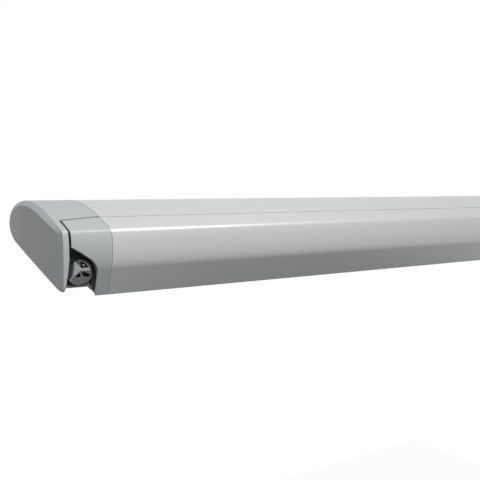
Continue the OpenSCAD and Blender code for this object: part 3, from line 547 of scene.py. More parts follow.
def make_finishes():
    scene = bpy.context.scene
    tones = scene.awning_colours
    # Name, tone, metal, roughness, grain, drawn, spread, bump and cloud, as finish_material takes them
    rows = {
        # Extruded and anodised aluminium, satin: soft broad highlights with faint die lines along X
        "anodised_profile": (
            "satin_anodised_aluminium", tones.aluminium, 0.5, (0.36, 0.42), 4, 60, 0.03, 0.012, 400
        ),
        # Extruded and anodised tube, a little brighter and smoother
        "arm_aluminium": ("anodised_tube", tones.arms, 0.7, (0.3, 0.4), 3, 60, 0.04, 0.012, 200),
        # Moulded ABS with a fine spark-eroded grain: even cool grey with a dull sheen
        "cap_plastic": ("moulded_abs", tones.plastic, 0.0, (0.42, 0.52), 1.2, 1, 0.025, 0.03, 90),
        # Pressure die casting, shot blasted and powder coated: slight orange peel
        "cast_metal": ("powder_coated_casting", tones.casting, 0.0, (0.4, 0.55), 1.6, 1, 0.05, 0.06, 30),
        # Zinc plated steel: bright grey with a cloudy plating
        "steel": ("zinc_plated_steel", linear("#a9abad"), 1.0, (0.28, 0.42), 1.5, 1, 0.08, 0.01, 12),
        # Zinc die casting, polished and chromed: mirror-like with soft ripples, its tone held darker than
        # bright chrome as painted shade from the recess that it sits in
        "eye_chrome": ("chromed_zinc_with_painted_shade", tones.chrome_with_painted_shade, 1.0, (0.16, 0.24), 9, 1, 0.02, 0.02, 12),
        # Sintered bronze bushes: brown yellow, fine pores
        "bronze": ("sintered_bronze", linear("#9a7440"), 0.9, (0.35, 0.5), 0.8, 1, 0.08, 0.02, 10),
        # Glass-filled nylon, moulded black: dull with fine texture
        "black_plastic": ("black_nylon", tones.black, 0.0, (0.5, 0.62), 1.0, 1, 0.1, 0.03, 20),
        # Nylon moulded in red
        "lever_plastic": ("red_nylon", tones.lever, 0.0, (0.38, 0.5), 1.0, 1, 0.05, 0.03, 20),
        # Extruded rubber, matt black with a slight bloom
        "soft_rubber": ("extruded_rubber", linear("#202122"), 0.0, (0.65, 0.8), 1.5, 20, 0.15, 0.03, 60),
    }
    for slot, row in rows.items():
        FINISHES[slot] = finish_material(*row)
    FINISHES["awning_cloth"] = cloth_material(
        "coated_awning_fabric", tones.cloth, tones.stripe, scene.awning_sizes.stripe_pitch
    )


# The pieces


def aimed(name, data, place, ahead):
    """A camera or lamp at a place, turned to look ahead."""
    made = new_object(name, data)
    made.location = place
    made.rotation_mode = "QUATERNION"
    made.rotation_quaternion = ahead.to_track_quat("-Z", "Y")
    return made


class AWNING_OT_camera(bpy.types.Operator):
    """Puts the camera where the picture was taken"""

    bl_idname = "awning.camera"
    bl_label = "Camera"

    def execute(self, context):
        # Fitted to the edges in the picture, whose width and focal length are in pixels
        turn, tilt, focal, width = math.radians(34), math.radians(4.343), 684.7, 480
        lens = bpy.data.cameras.new("camera")
        lens.sensor_width = 36
        lens.lens = focal * lens.sensor_width / width
        lens.clip_start, lens.clip_end = 0.05, 60
        ahead = Vector((math.sin(turn) * math.cos(tilt), math.cos(turn) * math.cos(tilt), -math.sin(tilt)))
        context.scene.camera = aimed("camera", lens, (-1.5826, -0.9858, 0.1109), ahead)
        return {"FINISHED"}


class AWNING_OT_stage(bpy.types.Operator):
    """Lays the pale floor and sets the soft lamps"""

    bl_idname = "awning.stage"
    bl_label = "Stage"

    def execute(self, context):
        scene = context.scene
        scene.view_settings.view_transform = "Standard"
        scene.world = bpy.data.worlds.new("studio")
        scene.world.use_nodes = True
        tree = scene.world.node_tree
        tree.nodes.clear()
        strength = ranged(tree, self.seen(tree, 1.0), target=(0.15, 1.0))
        sky = add(tree, "ShaderNodeBackground", Color=(1, 1, 1, 1), Strength=strength)
        add(tree, "ShaderNodeOutputWorld", Surface=sky.outputs["Background"])

        reach, depth = 3.4, -2.3
        corners = [(x * reach, y * reach, depth) for x, y in ((-1, -1), (1, -1), (1, 1), (-1, 1))]
        floor = new_object("floor", mesh_from("floor", corners, [(0, 1, 2, 3)]))
        material, tree = new_material("pale_floor")
        matt = add(tree, "ShaderNodeBsdfDiffuse", Color=(*linear("#9a9a9a"), 1))
        glow = add(tree, "ShaderNodeEmission", Color=(1, 1, 1, 1), Strength=1.0)
        # Reflections of the floor grow lighter with distance from its dark middle, up to the white round it
        place = add(tree, "ShaderNodeTexCoord").outputs["Object"]
        middle = (1.3, -1.1, depth)
        far = add(tree, "ShaderNodeVectorMath", {"operation": "DISTANCE"}, _0=place, _1=middle)
        fade = ranged(tree, far.outputs["Value"], source=(1.0, 3.3))
        # The rest of the floor's light is the object's shadow on it
        share = maths(tree, "MULTIPLY", self.seen(tree, fade), 0.97)
        both = add(tree, "ShaderNodeMixShader", _0=share, _1=matt.outputs[0], _2=glow.outputs[0])
        add(tree, "ShaderNodeOutputMaterial", Surface=both.outputs["Shader"])
        floor.data.materials.append(material)

        self.lamp("front_lamp", (-1.38, -1.55, 1.4), (-1.2, -0.16, 0.0), 1.0, 38, gleam=False)
        self.lamp("crease_lamp", (-0.5, -0.42, 2.0), (-0.5, -0.16, 0.0), 0.4, 28, gleam=True)
        return {"FINISHED"}

    def seen(self, tree, mirrored):
        """1 for what the camera or a clear surface sees, mirrored for a reflection, and 0 for mere light."""
        path = add(tree, "ShaderNodeLightPath").outputs
        glossy = maths(tree, "MULTIPLY", path["Is Glossy Ray"], mirrored)
        shown = maths(tree, "MAXIMUM", path["Is Camera Ray"], glossy)
        return maths(tree, "MAXIMUM", shown, path["Is Transmission Ray"])

    def lamp(self, name, place, target, size, power, gleam):
        """A round lamp that either only gleams in glossy faces or only lights them."""
        light = bpy.data.lights.new(name, "AREA")
        light.shape = "DISK"
        light.size = size
        light.energy = power
        made = aimed(name, light, place, Vector(target) - Vector(place))
        made.visible_glossy = gleam
        made.visible_diffuse = not gleam


def band(path, wall):
    """The outline of a wall behind a path, on its right side."""
    return np.vstack([path, (path + normals_2d(path, closed=False) * wall)[::-1]])


def node_group(name, inputs):
    """A Geometry Nodes group with geometry in and out and more named inputs, and what it is given."""
    tree = bpy.data.node_groups.new(name, "GeometryNodeTree")
    for title, kind in {"Geometry": "Geometry", **inputs}.items():
        tree.interface.new_socket(title, in_out="INPUT", socket_type="NodeSocket" + kind)
    tree.interface.new_socket("Geometry", in_out="OUTPUT", socket_type="NodeSocketGeometry")
    return tree, add(tree, "NodeGroupInput").outputs


def end_group(tree, geometry, finish):
    """Puts out the geometry, realised and with its material."""
    real = add(tree, "GeometryNodeRealizeInstances", Geometry=geometry)
    dressed = add(tree, "GeometryNodeSetMaterial", Geometry=real.outputs[0], Material=finish)
    add(tree, "NodeGroupOutput", _0=dressed.outputs[0])
    return tree


def extrusion_tree():
    """Pulls flat section faces along X to a closed profile."""
    tree, given = node_group("extruded_profile", {"Length": "Float", "Finish": "Material"})
    reach = add(tree, "ShaderNodeCombineXYZ", X=given["Length"])
    pulled = add(
        tree,
        "GeometryNodeExtrudeMesh",
        {"mode": "FACES"},
        Mesh=given["Geometry"],
        Offset=reach.outputs["Vector"],
        Offset_Scale=1.0,
        Individual=False,
    )
    back = add(tree, "GeometryNodeFlipFaces", Mesh=given["Geometry"])
    both = tree.nodes.new("GeometryNodeJoinGeometry")
    for part in (pulled, back):
        tree.links.new(part.outputs["Mesh"], both.inputs[0])
    whole = add(tree, "GeometryNodeMergeByDistance", Geometry=both.outputs[0], Distance=FINE_SAME / 2)
    return end_group(tree, whole.outputs[0], given["Finish"])


def run_tree(tree, base, values):
    """The mesh that a tree makes from an object, with its inputs given by name."""
    made = modify(base, "NODES", node_group=tree)
    for item in tree.interface.items_tree:
        if item.item_type == "SOCKET" and item.in_out == "INPUT" and item.name in values:
            made[item.identifier] = values[item.name]
    return baked(base)


def extruded(name, outlines):
    """A profile of several outlines from seam to seam."""
    vertices, faces = [], []
    for outline in outlines:
        faces.append(tuple(range(len(vertices), len(vertices) + len(outline))))
        vertices += [point(-SEAM_X, p) for p in outline]
    base = new_object(name, mesh_from(name, vertices, faces))
    values = {"Length": 2 * SEAM_X * MM, "Finish": FINISHES["anodised_profile"]}
    return tidy_mesh(run_tree(extrusion_tree(), base, values), FINE_SAME)


def arc(radius, start, end, count):
    """Points on an arc between two angles in degrees."""
    turns = np.radians(np.linspace(start, end, count))
    return radius * np.stack([np.cos(turns), np.sin(turns)], 1)


def screw_channel(at, angle, reach=7.4):
    """The C-shaped channel that a screw cuts its thread into, on a short web."""
    ring = np.vstack([arc(4.4, -166, 166, 40), arc(2.1, 150, -150, 40)])
    web = np.array([[4.2, -1.6], [reach, -1.6], [reach, 1.6], [4.2, 1.6]])
    a = math.radians(angle)
    turn = np.array([[math.cos(a), math.sin(a)], [-math.sin(a), math.cos(a)]])
    return [part @ turn + at for part in (ring, web)]


# Places along X and width of the holes for the adapter bolts
ADAPTER_X = 1000
ADAPTER_HOLE = 8.5
# The screw channels, each with its middle and the angle and reach of its web
HOUSING_CHANNELS = [
    ((100, 23.5), 90),
    ((219.6, 4), 0),
    ((136, floor_z(136) + 8.4), -90),
    ((60, floor_z(60) + 8.4), -90),
]
RAIL_CHANNELS = [((8.2, -4.7), 150), ((2.3, -31.8), 180, 6.4), ((35.2, -31.8), 0)]


class AWNING_OT_cassette(bpy.types.Operator):
    """Makes the cassette's profile with its foot"""

    bl_idname = "awning.cassette"
    bl_label = "Cassette profile"

    def execute(self, context):
        wall = context.scene.awning_sizes.profile_wall / MM
        skin = joined(TOP, REAR, NOSE_CURVE, np.linspace(FLOOR_REAR, on_floor(FLOOR_FRONT_Y), 16))
        skin[0] += (SEAM_GAP, SEAM_GAP * 0.37)
        low, high, thick = self.foot()
        front, rear, top = low + thick, high - thick, FOOT_Z + thick
        outside = [(low, FOOT_Z), (high, FOOT_Z), on_floor(high) + (0, 1.2)]
        inside = [on_floor(rear), (rear, top), (front, top), on_floor(front)]
        foot = np.array([*outside, *inside, on_floor(low) + (0, 1.2)])
        outlines = [band(skin, wall), foot]
        for at, angle in HOUSING_CHANNELS:
            outlines += screw_channel(at, angle)
        mesh = extruded("cassette_profile", outlines)
        drill = ADAPTER_HOLE / 2 * MM
        holes = [
            cylinder(point(x, (FOOT_Y, FOOT_Z - 2)), point(x, (FOOT_Y, FOOT_Z + thick + 2)), drill)
            for x in (-ADAPTER_X, 0, ADAPTER_X)
        ]
        mesh = tidy_mesh(cut(mesh, holes), FINE_SAME)
        piece("cassette_profile", mesh, "housing", "anodised_profile", "housing_profile")
        return {"FINISHED"}

    def foot(self):
        """Front, rear and wall of the foot, in millimetres."""
        corners = [v.co for v in frame["nodes"]["housing_profile"].data.vertices if v.co.z < 0.0005]
        ys = [c.y / MM + FOOT_Y for c in corners]
        return min(ys), max(ys), 3


def cap_piece(name, parts, body, replaced):
    """One plastic cap out of its parts, which are made for the left end and mirrored for the right."""
    mesh = joined_mesh(name, parts)
    if name.endswith("right"):
        mesh.transform(Matrix.Scale(-1, 4, (1, 0, 0)))
        mesh.flip_normals()
    piece(name, mesh, body, "cap_plastic", replaced)


class AWNING_OT_cassette_caps(bpy.types.Operator):
    """Makes the two plastic end caps of the cassette"""

    bl_idname = "awning.cassette_caps"
    bl_label = "Cassette end caps"

    def execute(self, context):
        sizes = context.scene.awning_sizes
        for side in ("left", "right"):
            parts = [self.cheek(sizes), self.skin(sizes), self.bulkhead(side)]
            cap_piece(f"cassette_cap_{side}", parts, "housing", f"housing_cap_{side}")
        return {"FINISHED"}

    def cheek(self, sizes):
        """The D-shaped end with its bevelled outer face."""
        outline = joined(CHEEK_FRONT, CREASE, FLANGE, TOP, REAR, NOSE_CURVE, FLOOR, CHIN, LIP)[:-1]
        chamfer = sizes.chamfer / MM
        width = chamfer + 1
        outer = rounded_path([(0, 2 * chamfer), (0, chamfer), (width, 0), (width + 6, 0)], 1.4, 6)[1:]
        rings = []
        # The rim is rounded only where it is free, beside the lead rail's cap
        free = np.clip((GAP_END_Y - outline[:, 0]) / 3, 0, 1)
        # The strip beside the lead rail's cap narrows towards the chin
        narrow = CHIN_TAPER * np.clip((CHIN_TOP_Z - outline[:, 1]) / 40, 0, 1) ** 1.5 * free
        rear = CHEEK_X - 0.01
        rim = ((0.0, 3.0), (0.0, 0.9), (0.1, 0.45), (0.26, 0.2), (0.45, 0.06), (0.8, 0.0))
        for depth, pull in rim:
            edge = outline + normals_2d(outline, closed=True) * (pull * free)[:, None]
            rings.append([point(-rear - depth * f - n, p) for p, f, n in zip(edge, free, narrow)])
        for pull, depth in outer[:-1]:
            rings.append([point(-HALF + depth, p) for p in self.bevelled(outline, pull)])
        rings.append([point(-HALF, p) for p in self.bevelled(outline, outer[-2][0] + 0.5)])
        return self.bent_back(closed_loft("cheek", rings), chamfer, sizes.cheek_fall / MM)

    def bevelled(self, outline, pull):
        """The outline moved inwards, further along the front, where the bevel is wide and shallow."""
        even = inset(outline, pull)
        wide = np.array([FRONT_BEVEL, 1])
        front = inset(outline / wide, pull * FRONT_PULL) * wide
        share = np.clip(outline[:, :1] / FRONT_REACH, 0, 1)
        share = share * share * (3 - 2 * share)
        return even * share + front * (1 - share)

    def bent_back(self, mesh, chamfer, fall):
        """The cheek with its flat outer face cut into strips and bent back towards the nose and the front."""
        end = NOSE[0] - chamfer
        with opened(mesh) as work:
            for y in (*np.linspace(10, FRONT_REACH, 8), *np.linspace(REAR_FALL_Y, end - 4, 12)):
                flat = [f for f in work.faces if all(v.co.x < (-HALF + 0.02) * MM for v in f.verts)]
                edges, corners = {e for f in flat for e in f.edges}, {v for f in flat for v in f.verts}
                bmesh.ops.bisect_plane(
                    work,
                    geom=[*flat, *edges, *corners],
                    dist=1e-7,
                    plane_co=point(-HALF, (y, 0)),
                    plane_no=Vector((0, 1, 0)),
                )
            for vertex in work.verts:
                inward = 1 - (vertex.co.x / MM + HALF) / chamfer
                y = vertex.co.y / MM + FOOT_Y
                if inward > 0:
                    back = min(max((y - REAR_FALL_Y) / (end - REAR_FALL_Y), 0), 1)
                    ahead = min(max(1 - y / FRONT_REACH, 0), 1)
                    vertex.co.x += (fall * back**1.6 + FRONT_FALL * ahead**1.3) * inward * MM
        return mesh

    def skin(self, sizes):
        """The wall between the cheek and the aluminium, with its slanted front edge along the gap."""
        whole = joined(FLANGE, TOP, REAR, NOSE_CURVE, np.linspace(FLOOR_REAR, on_floor(FLOOR_END_Y), 30))
        whole = whole + normals_2d(whole, closed=False) * 0.02
        # Beyond shared_y all columns have the same points; before it each has its own on the rise
        shared_y = 62
        shared = whole[int(np.argmax(whole[:, 0] > shared_y)) :]
        rise = whole[:60]
        columns = []
        for x in np.linspace(-CHEEK_X - 0.6, -SEAM_X - END_GAP, 14):
            t = np.clip((x + CHEEK_X) / (CHEEK_X - SEAM_X), 0, 1)
            front_y = np.linspace(GAP_END_Y + TOP_GAP + t * (SEAM[0] - GAP_END_Y), shared[0][0], 16)
            front = np.stack([front_y, np.interp(front_y, rise[:, 0], rise[:, 1])], 1)
            columns.append([point(x, p) for p in joined(front, shared)])
        mesh = moulded_sheet("cap_skin", columns[::-1], sizes.cap_wall, sizes.edge_round)
        # The floor is cut back behind the leg's hinge block
        room = box_outline(-20, FLOOR_FRONT_Y - 3, -100, -30)
        return tidy_mesh(cut(mesh, [rail_solid("block_room", room, -SEAM_X - BLOCK_ROOM, -SEAM_X + 1)]))

    def bulkhead(self, side):
        """The wall behind the crank eye, with the way for the shaft."""
        front, rear = FLOOR_FRONT_Y - 3, FLOOR_FRONT_Y
        plate = np.array([on_floor(front) + (0, 1), on_floor(rear) + (0, 1), (rear, 14), (front, 14)])
        mesh = rail_solid("bulkhead", plate, -CHEEK_X - 0.5, -SEAM_X - 0.4)
        if side == "left":
            shaft_way = cylinder(crank_point(0, 10, 0), crank_point(0, 60, 0), 7 * MM)
            mesh = cut(mesh, [shaft_way])
        return tidy_mesh(mesh)


def rounded_path(corners, radius, steps):
    """A path of straight runs with its inner corners rounded."""
    corners = [np.array(c, float) for c in corners]
    points = [corners[0]]
    for before, corner, after in zip(corners, corners[1:], corners[2:]):
        a, b = before - corner, after - corner
        la, lb = np.linalg.norm(a), np.linalg.norm(b)
        half = math.acos(np.clip(a @ b / la / lb, -1, 1)) / 2
        reach = min(radius / math.tan(half), la * 0.45, lb * 0.45)
        start, end = corner + a / la * reach, corner + b / lb * reach
        for k in range(steps + 1):
            t = k / steps
            points.append(start * (1 - t) ** 2 + 2 * corner * t * (1 - t) + end * t**2)
    points.append(corners[-1])
    return points


def crank_point(x, y, z):
    """A point of the crank's own frame, whose Y runs up the shaft from the eye."""
    c, s = math.cos(SHAFT_TILT), math.sin(SHAFT_TILT)
    return point(-CRANK_X + x, (CRANK_Y + y * c - z * s, CRANK_Z + y * s + z * c))


# Shares of a cap's width at which its wall has points, closer together near the edges
EASED = np.array([0, 0.04, 0.1, 0.2, 0.35, 0.5, 0.65, 0.8, 0.9, 0.96, 1])

# Edge of the cut-out for the crank hook: distance left of the seam, and height
CUTOUT_EDGE = joined(
    np.array([(57.2, -19), (41.3, -28.5)]),
    bezier((30.4, -36), (22.5, -41.4), (18.6, -49), (18.4, -58), 16),
    np.array([(17.9, -70), (16.6, -95)]),
)


def cutout_left(z):
    """How far left the lead rail's cap reaches at a height, along the cut-out for the crank hook."""
    return -SEAM_X - np.interp(z, CUTOUT_EDGE[::-1, 1], CUTOUT_EDGE[::-1, 0])


class AWNING_OT_lead_rail(bpy.types.Operator):
    """Makes the lead rail's profile"""

    bl_idname = "awning.lead_rail"
    bl_label = "Lead rail profile"

    def execute(self, context):
        wall = context.scene.awning_sizes.profile_wall / MM
        skin = joined(RAIL_FOOT, FRONT, CREASE, FLANGE)
        skin[-1] -= (SEAM_GAP / 2, SEAM_GAP * 0.19)
        outlines = [
            band(skin, wall),
            box_outline(RAIL_REAR_Y, RAIL_REAR_Y + wall, -64, 2.5),
            box_outline(-3.6, RAIL_REAR_Y + 0.2, SHELF_Z, SHELF_Z + wall),
            box_outline(33, 37.4, 8.4, 11.9),
            box_outline(37, RAIL_REAR_Y + wall, 0.2, 2.8),
            self.bead_groove(),
        ]
        for channel in RAIL_CHANNELS:
            outlines += screw_channel(*channel)
        mesh = extruded("lead_rail", outlines)
        piece("lead_rail", mesh, "lead_rail", "anodised_profile", "lead_rail_profile")
        return {"FINISHED"}

    def bead_groove(self):
        """The C-shaped groove that holds the fabric's bead, open to the rear."""
        return np.vstack([arc(5.4, 30, 334, 48), arc(3.5, 334, 30, 48)]) + np.array([36, 5.4])


class AWNING_OT_lead_caps(bpy.types.Operator):
    """Makes the two plastic caps of the lead rail"""

    bl_idname = "awning.lead_caps"
    bl_label = "Lead rail caps"

    def execute(self, context):
        sizes = context.scene.awning_sizes
        for side in ("left", "right"):
            parts = [self.skin(sizes, side), self.end_wall()]
            if side == "left":
                parts.append(self.return_wall())
            cap_piece(f"rail_cap_{side}", parts, "lead_rail", f"lead_cap_{side}")
        return {"FINISHED"}

    def skin(self, sizes, side):
        """The cap's shown wall, which carries on the rail's section up to the gap and the cut-out."""
        path = joined(
            np.linspace(RAIL_BOTTOM, RAIL_BEND, 22),
            bezier(RAIL_BEND, *FRONT_HANDLES, CREASE_LOW, 90),
            CREASE,
            bezier(CREASE_HIGH, *FLANGE_HANDLES, SEAM, 40),
        )
        rows = []
        right = -SEAM_X - END_GAP
        for p in path:
            left = -CHEEK_X + CAP_GAP
            if side == "left" and p[1] < CUTOUT_EDGE[0, 1]:
                left = max(left, cutout_left(p[1]))
            # The edge along the gap on top runs slanted from the cheek to the seam
            if p[0] > 20:
                left = max(left, -CHEEK_X + (p[0] - GAP_END_Y) / (SEAM[0] - GAP_END_Y) * (CHEEK_X - SEAM_X))
            if right - left < 2.5:
                break
            rows.append([point(x, p) for x in left + (right - left) * EASED])
        return moulded_sheet("rail_cap_skin", rows, sizes.cap_wall, sizes.edge_round)

    def end_wall(self):
        """The wall that the screws clamp to the profile."""
        inner = joined(FRONT, CREASE, FLANGE)
        inner = (inner + normals_2d(inner, closed=False) * 1)[14:-2]
        rear = RAIL_REAR_Y - 1
        outline = np.vstack([[(-2, SHELF_Z), (rear, SHELF_Z), (rear, 3)], inner[::-1]])
        return rail_solid("end_wall", outline, -SEAM_X - 3, -SEAM_X - END_GAP)

    def return_wall(self):
        """The wall that runs back from the edge of the cut-out."""
        heights = np.concatenate([np.linspace(-86, -62, 12), np.linspace(-60, -21.5, 50)])
        edge = np.array([(cutout_left(z), z) for z in heights])
        edge[:, 0] += 0.3
        thick = edge - normals_2d(edge, closed=False) * -2.4
        face = joined(RAIL_FOOT, FRONT)
        front = np.interp(heights, face[:, 1], face[:, 0])
        rings = []
        for (xa, za), (xb, zb), y in zip(edge, thick, front):
            y0, y1 = y + 2.5, max(8.0, y + 3)
            rings.append([point(xa, (y0, za)), point(xa, (y1, za)), point(xb, (y1, zb)), point(xb, (y0, zb))])
        return closed_loft("return_wall", rings)


class AWNING_OT_crank_eye(bpy.types.Operator):
    """Softens the edges of the chromed crank eye"""

    bl_idname = "awning.crank_eye"
    bl_label = "Crank eye"

    def execute(self, context):
        made = new_object("eye_work", tidy_mesh(frame["nodes"]["crank_eye"].data.copy(), FINE_SAME))
        modify(made, "REMESH", mode="VOXEL", voxel_size=0.36 * MM, use_smooth_shade=True)
        modify(made, "SMOOTH", factor=0.5, iterations=7)
        piece("chromed_eye", baked(made), "crank", "eye_chrome", "crank_eye")
        return {"FINISHED"}


class AWNING_OT_fabric(bpy.types.Operator):
    """Makes the wound fabric, the strip between the roll and the lead rail, and the bead"""

    bl_idname = "awning.fabric"
    bl_label = "Fabric"

    def execute(self, context):
        sizes = context.scene.awning_sizes
        low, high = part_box("fabric_roll")
        centre_y, centre_z = (low.y + high.y) / 2, (low.z + high.z) / 2
        # The turns lie a tenth of a millimetre clear of the tube and inside the part's outer face
        inner, outer = 24.1 * MM, (high.z - low.z) / 2 - sizes.fabric_thickness / 2 - 0.1 * MM
        turns = sizes.roll_turns
        angles = np.linspace(0, turns * 2 * math.pi, turns * 60 + 1)
        radii = inner + (outer - inner) * angles / angles[-1]
        line = np.stack([centre_y - radii * np.cos(angles), centre_z + radii * np.sin(angles)], 1)
        roll = self.strip("wound_fabric", line, low.x, high.x, sizes.fabric_thickness)
        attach(roll, "roller")
        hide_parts("fabric_roll")

        low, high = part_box("canopy_fabric")
        steps = np.linspace(0, 1, 13)[:, None]
        line = np.array([low.y, low.z]) * (1 - steps) + np.array([high.y, high.z]) * steps
        canopy = self.strip("canopy", line, low.x, high.x, sizes.fabric_thickness)
        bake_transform(canopy)
        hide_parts("canopy_fabric")

        low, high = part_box("fabric_keder")
        start = Vector((low.x, (low.y + high.y) / 2, (low.z + high.z) / 2))
        end = Vector((high.x, start.y, start.z))
        mesh = self.bead(start, end, (high.z - low.z) / 2)
        piece("fabric_bead", mesh, "lead_rail", "awning_cloth", "fabric_keder")
        return {"FINISHED"}

    def strip(self, name, line, x0, x1, thickness):
        """A sheet along a line in Y and Z, with its own map in metres."""
        xs = np.linspace(x0, x1, 25)
        run = np.concatenate([[0], np.cumsum(np.linalg.norm(np.diff(line, axis=0), axis=1))])
        vertices = [(x, y, z) for y, z in line for x in xs]
        faces = [f[::-1] for f in grid_faces(len(line), len(xs))]
        mesh = mesh_from(name, vertices, faces)
        mesh.materials.append(FINISHES["awning_cloth"])
        flat = new_object("flat", self.mapped(mesh, [(x, r) for r in run for x in xs]))
        modify(flat, "SOLIDIFY", thickness=thickness, offset=0)
        made = new_object(name, smoothed(baked(flat)))
        return made

    def bead(self, start, end, radius):
        """The round bead, with its map wrapped round it."""
        mesh = cylinder(start, end, radius, 32)
        mesh.name = "fabric_bead"
        spots = [v.co for v in mesh.vertices]
        return self.mapped(mesh, [(p.x, math.atan2(p.z - start.z, p.y - start.y) * radius) for p in spots])

    def mapped(self, mesh, places):
        """The mesh with a map that puts its vertices at these places, in metres."""
        layer = mesh.uv_layers.new(name="UVMap")
        for loop in mesh.loops:
            layer.data[loop.index].uv = places[loop.vertex_index]
        return mesh


def fasteners(node):
    """Each screw of a node: the seat of its head, its direction, and its head's and shank's sizes."""
    work = bmesh.new()
    work.from_mesh(frame["nodes"][node].data)
    bmesh.ops.remove_doubles(work, verts=work.verts, dist=FINE_SAME)
    left = set(work.verts)
    found = []
    while left:
        island, edge = set(), [left.pop()]
        while edge:
            vertex = edge.pop()
            island.add(vertex)
            for link in vertex.link_edges:
                other = link.other_vert(vertex)
                if other in left:
                    left.discard(other)
                    edge.append(other)
        found.append(measured_screw(np.array([v.co for v in island])))
    work.free()
    return found


def measured_screw(cloud):
    """Seat, direction and sizes of one screw from its points, which lie on rings round its axis."""
    centre = cloud.mean(0)
    axis = np.linalg.svd(cloud - centre)[2][0]
    height = cloud @ axis
    span = height.max() - height.min()
    ends = [cloud[np.abs(height - value) < span * 0.02] for value in (height.min(), height.max())]
    middles = [(end.max(0) + end.min(0)) / 2 for end in ends]
    radii = [np.linalg.norm(end - middle, axis=1).max() for end, middle in zip(ends, middles)]
    head = int(radii[1] > radii[0])
    direction = middles[1 - head] - middles[head]
    length = np.linalg.norm(direction)
    direction /= length
    along = (cloud - middles[head]) @ direction
    off = np.linalg.norm(cloud - middles[head] - along[:, None] * direction, axis=1)
    head_height = along[off > radii[head] * 0.98].max()
    return middles[head], direction, radii[head], head_height, radii[1 - head], length - head_height


# The inputs for the sizes of a screw, in the order in which they are measured
SCREW_SIZES = ("Head Radius", "Head Height", "Shank Radius", "Shank Length", "Recess")


def screw_tree():
    """Sets a screw with a stepped head and a six-sided recess at each point, turned along its direction."""
    inputs = {**dict.fromkeys(SCREW_SIZES, "Float"), "Finish": "Material"}
    tree, given = node_group("recessed_screws", inputs)

    def scaled(name, share):
        return maths(tree, "MULTIPLY", given[name], share)

    def disc(radius, height, sides, middle):
        solid = add(tree, "GeometryNodeMeshCylinder", Vertices=sides, Radius=radius, Depth=height)
        place = add(tree, "ShaderNodeCombineXYZ", Z=middle).outputs[0]
        moved = add(tree, "GeometryNodeTransform", Geometry=solid.outputs["Mesh"], Translation=place)
        return moved.outputs[0]

    rim = disc(given["Head Radius"], scaled("Head Height", 0.62), 40, scaled("Head Height", 0.69))
    crown = disc(scaled("Head Radius", 0.86), scaled("Head Height", 0.5), 40, scaled("Head Height", 0.25))
    hollow = disc(given["Recess"], scaled("Head Height", 1.2), 6, 0.0)
    middle = maths(tree, "ADD", given["Head Height"], scaled("Shank Length", 0.5))
    shank = disc(given["Shank Radius"], given["Shank Length"], 24, middle)
    head = add(tree, "GeometryNodeMeshBoolean", {"operation": "UNION", "solver": "EXACT"})
    for part in (rim, crown, shank):
        tree.links.new(part, head.inputs["Mesh 2"])
    bored = add(
        tree,
        "GeometryNodeMeshBoolean",
        {"operation": "DIFFERENCE", "solver": "EXACT"},
        Mesh_1=head.outputs["Mesh"],
        Mesh_2=hollow,
    )
    heading = add(tree, "GeometryNodeInputNamedAttribute", {"data_type": "FLOAT_VECTOR"}, Name="direction")
    turn = add(tree, "FunctionNodeAlignRotationToVector", {"axis": "Z"}, Vector=heading.outputs["Attribute"])
    placed = add(
        tree,
        "GeometryNodeInstanceOnPoints",
        Points=add(tree, "GeometryNodeMeshToPoints", Mesh=given["Geometry"]).outputs["Points"],
        Instance=bored.outputs["Mesh"],
        Rotation=turn.outputs["Rotation"],
    )
    return end_group(tree, placed.outputs["Instances"], given["Finish"])


# The parts that are sets of screws, and the bodies that they ride on
SCREW_NODES = {
    "housing_screws": "housing",
    "shoulder_bracket_bolts": "housing",
    "lead_rail_screws": "lead_rail",
}


class AWNING_OT_screws(bpy.types.Operator):
    """Sets the screws and bolts with recessed heads"""

    bl_idname = "awning.screws"
    bl_label = "Screws and bolts"

    def execute(self, context):
        recess = context.scene.awning_sizes.screw_recess / 2
        tree = screw_tree()
        for node, body in SCREW_NODES.items():
            groups = {}
            for seat, direction, *measures in fasteners(node):
                key = tuple(round(m, 5) for m in measures)
                groups.setdefault(key, []).append((seat, direction))
            meshes = []
            for measures, places in groups.items():
                base = new_object("screw_places", mesh_from("screw_places", [seat for seat, _ in places], []))
                mark = base.data.attributes.new("direction", "FLOAT_VECTOR", "POINT")
                mark.data.foreach_set("vector", np.array([d for _, d in places], np.float32).ravel())
                sizes = (*measures, min(recess, measures[0] * 0.55))
                values = {name: float(size) for name, size in zip(SCREW_SIZES, sizes)}
                meshes.append(run_tree(tree, base, {**values, "Finish": FINISHES["steel"]}))
            piece(f"{node}_set", joined_mesh(f"{node}_set", meshes), body, "steel", node)
        return {"FINISHED"}


# Words in the names of the parts whose edges are rounded
CAST_PARTS = (
    "shoulder_bracket", "shoulder_knuckle", "elbow_fork", "elbow_tongue", "wrist", "end_frame", "gearbox"
)
MOULDED_PARTS = ("leg_hinge_blocks", "leg_clamp", "leg_lever", "leg_foot")


class AWNING_OT_castings(bpy.types.Operator):
    """Rounds the edges of the castings and the small moulded fittings"""

    bl_idname = "awning.castings"
    bl_label = "Castings and fittings"

    def execute(self, context):
        sizes = context.scene.awning_sizes
        bodies = frame["record"]["behaviour"]["bodies"]
        body_of = {node: body for body, nodes in bodies.items() for node in nodes}
        for node, slot in SLOTS.items():
            if any(word in node for word in SCREW_NODES):
                continue
            cast = any(word in node for word in CAST_PARTS)
            if cast or any(word in node for word in MOULDED_PARTS):
                mesh = softened(node, sizes.casting_round if cast else sizes.moulding_round)
                piece(f"{node}_rounded", mesh, body_of[node], slot, node)
        return {"FINISHED"}


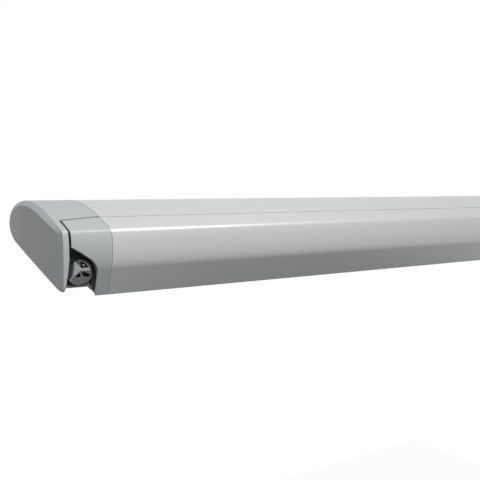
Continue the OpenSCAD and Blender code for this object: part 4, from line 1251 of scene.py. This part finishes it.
def softened(node, radius):
    """A copy of a part's mesh with its triangles joined to faces and its edges rounded."""
    mesh = bpy.data.meshes.new(f"{node}_rounded")
    with opened(mesh) as work:
        work.from_mesh(frame["nodes"][node].data)
        bmesh.ops.remove_doubles(work, verts=work.verts, dist=FINE_SAME)
        bmesh.ops.dissolve_limit(work, angle_limit=math.radians(1), verts=work.verts, edges=work.edges)
    made = new_object("softened", mesh)
    modify(made, "BEVEL", width=radius, segments=2, limit_method="ANGLE", angle_limit=math.radians(40))
    return smoothed(baked(made))


class AWNING_OT_finishes(bpy.types.Operator):
    """Gives every carried-over part the finish of its material slot"""

    bl_idname = "awning.finishes"
    bl_label = "Finishes of the parts"

    def execute(self, context):
        for name, made in frame["nodes"].items():
            made.data.materials.clear()
            made.data.materials.append(FINISHES[SLOTS[name]])
        return {"FINISHED"}


class AWNING_PT_panel(bpy.types.Panel):
    bl_idname = "AWNING_PT_panel"
    bl_label = "Roll out awning"
    bl_space_type = "VIEW_3D"
    bl_region_type = "UI"
    bl_category = "Awning"

    def draw(self, context):
        for group in (context.scene.awning_sizes, context.scene.awning_colours):
            column = self.layout.column()
            for name in group.bl_rna.properties.keys():
                if name not in ("rna_type", "name"):
                    column.prop(group, name)
        column = self.layout.column()
        for step in STEPS:
            column.operator(step.bl_idname)


STEPS = (
    AWNING_OT_camera,
    AWNING_OT_stage,
    AWNING_OT_cassette,
    AWNING_OT_cassette_caps,
    AWNING_OT_lead_rail,
    AWNING_OT_lead_caps,
    AWNING_OT_crank_eye,
    AWNING_OT_screws,
    AWNING_OT_castings,
    AWNING_OT_fabric,
    AWNING_OT_finishes,
)
CLASSES = (AwningSizes, AwningColours, *STEPS, AWNING_PT_panel)


def register():
    for made in CLASSES:
        bpy.utils.register_class(made)
    bpy.types.Scene.awning_sizes = PointerProperty(type=AwningSizes)
    bpy.types.Scene.awning_colours = PointerProperty(type=AwningColours)


def unregister():
    del bpy.types.Scene.awning_colours
    del bpy.types.Scene.awning_sizes
    for made in reversed(CLASSES):
        bpy.utils.unregister_class(made)


def main():
    register()
    make_finishes()
    for step in STEPS:
        group, name = step.bl_idname.split(".")
        getattr(getattr(bpy.ops, group), name)()


if __name__ == "__main__":
    main()
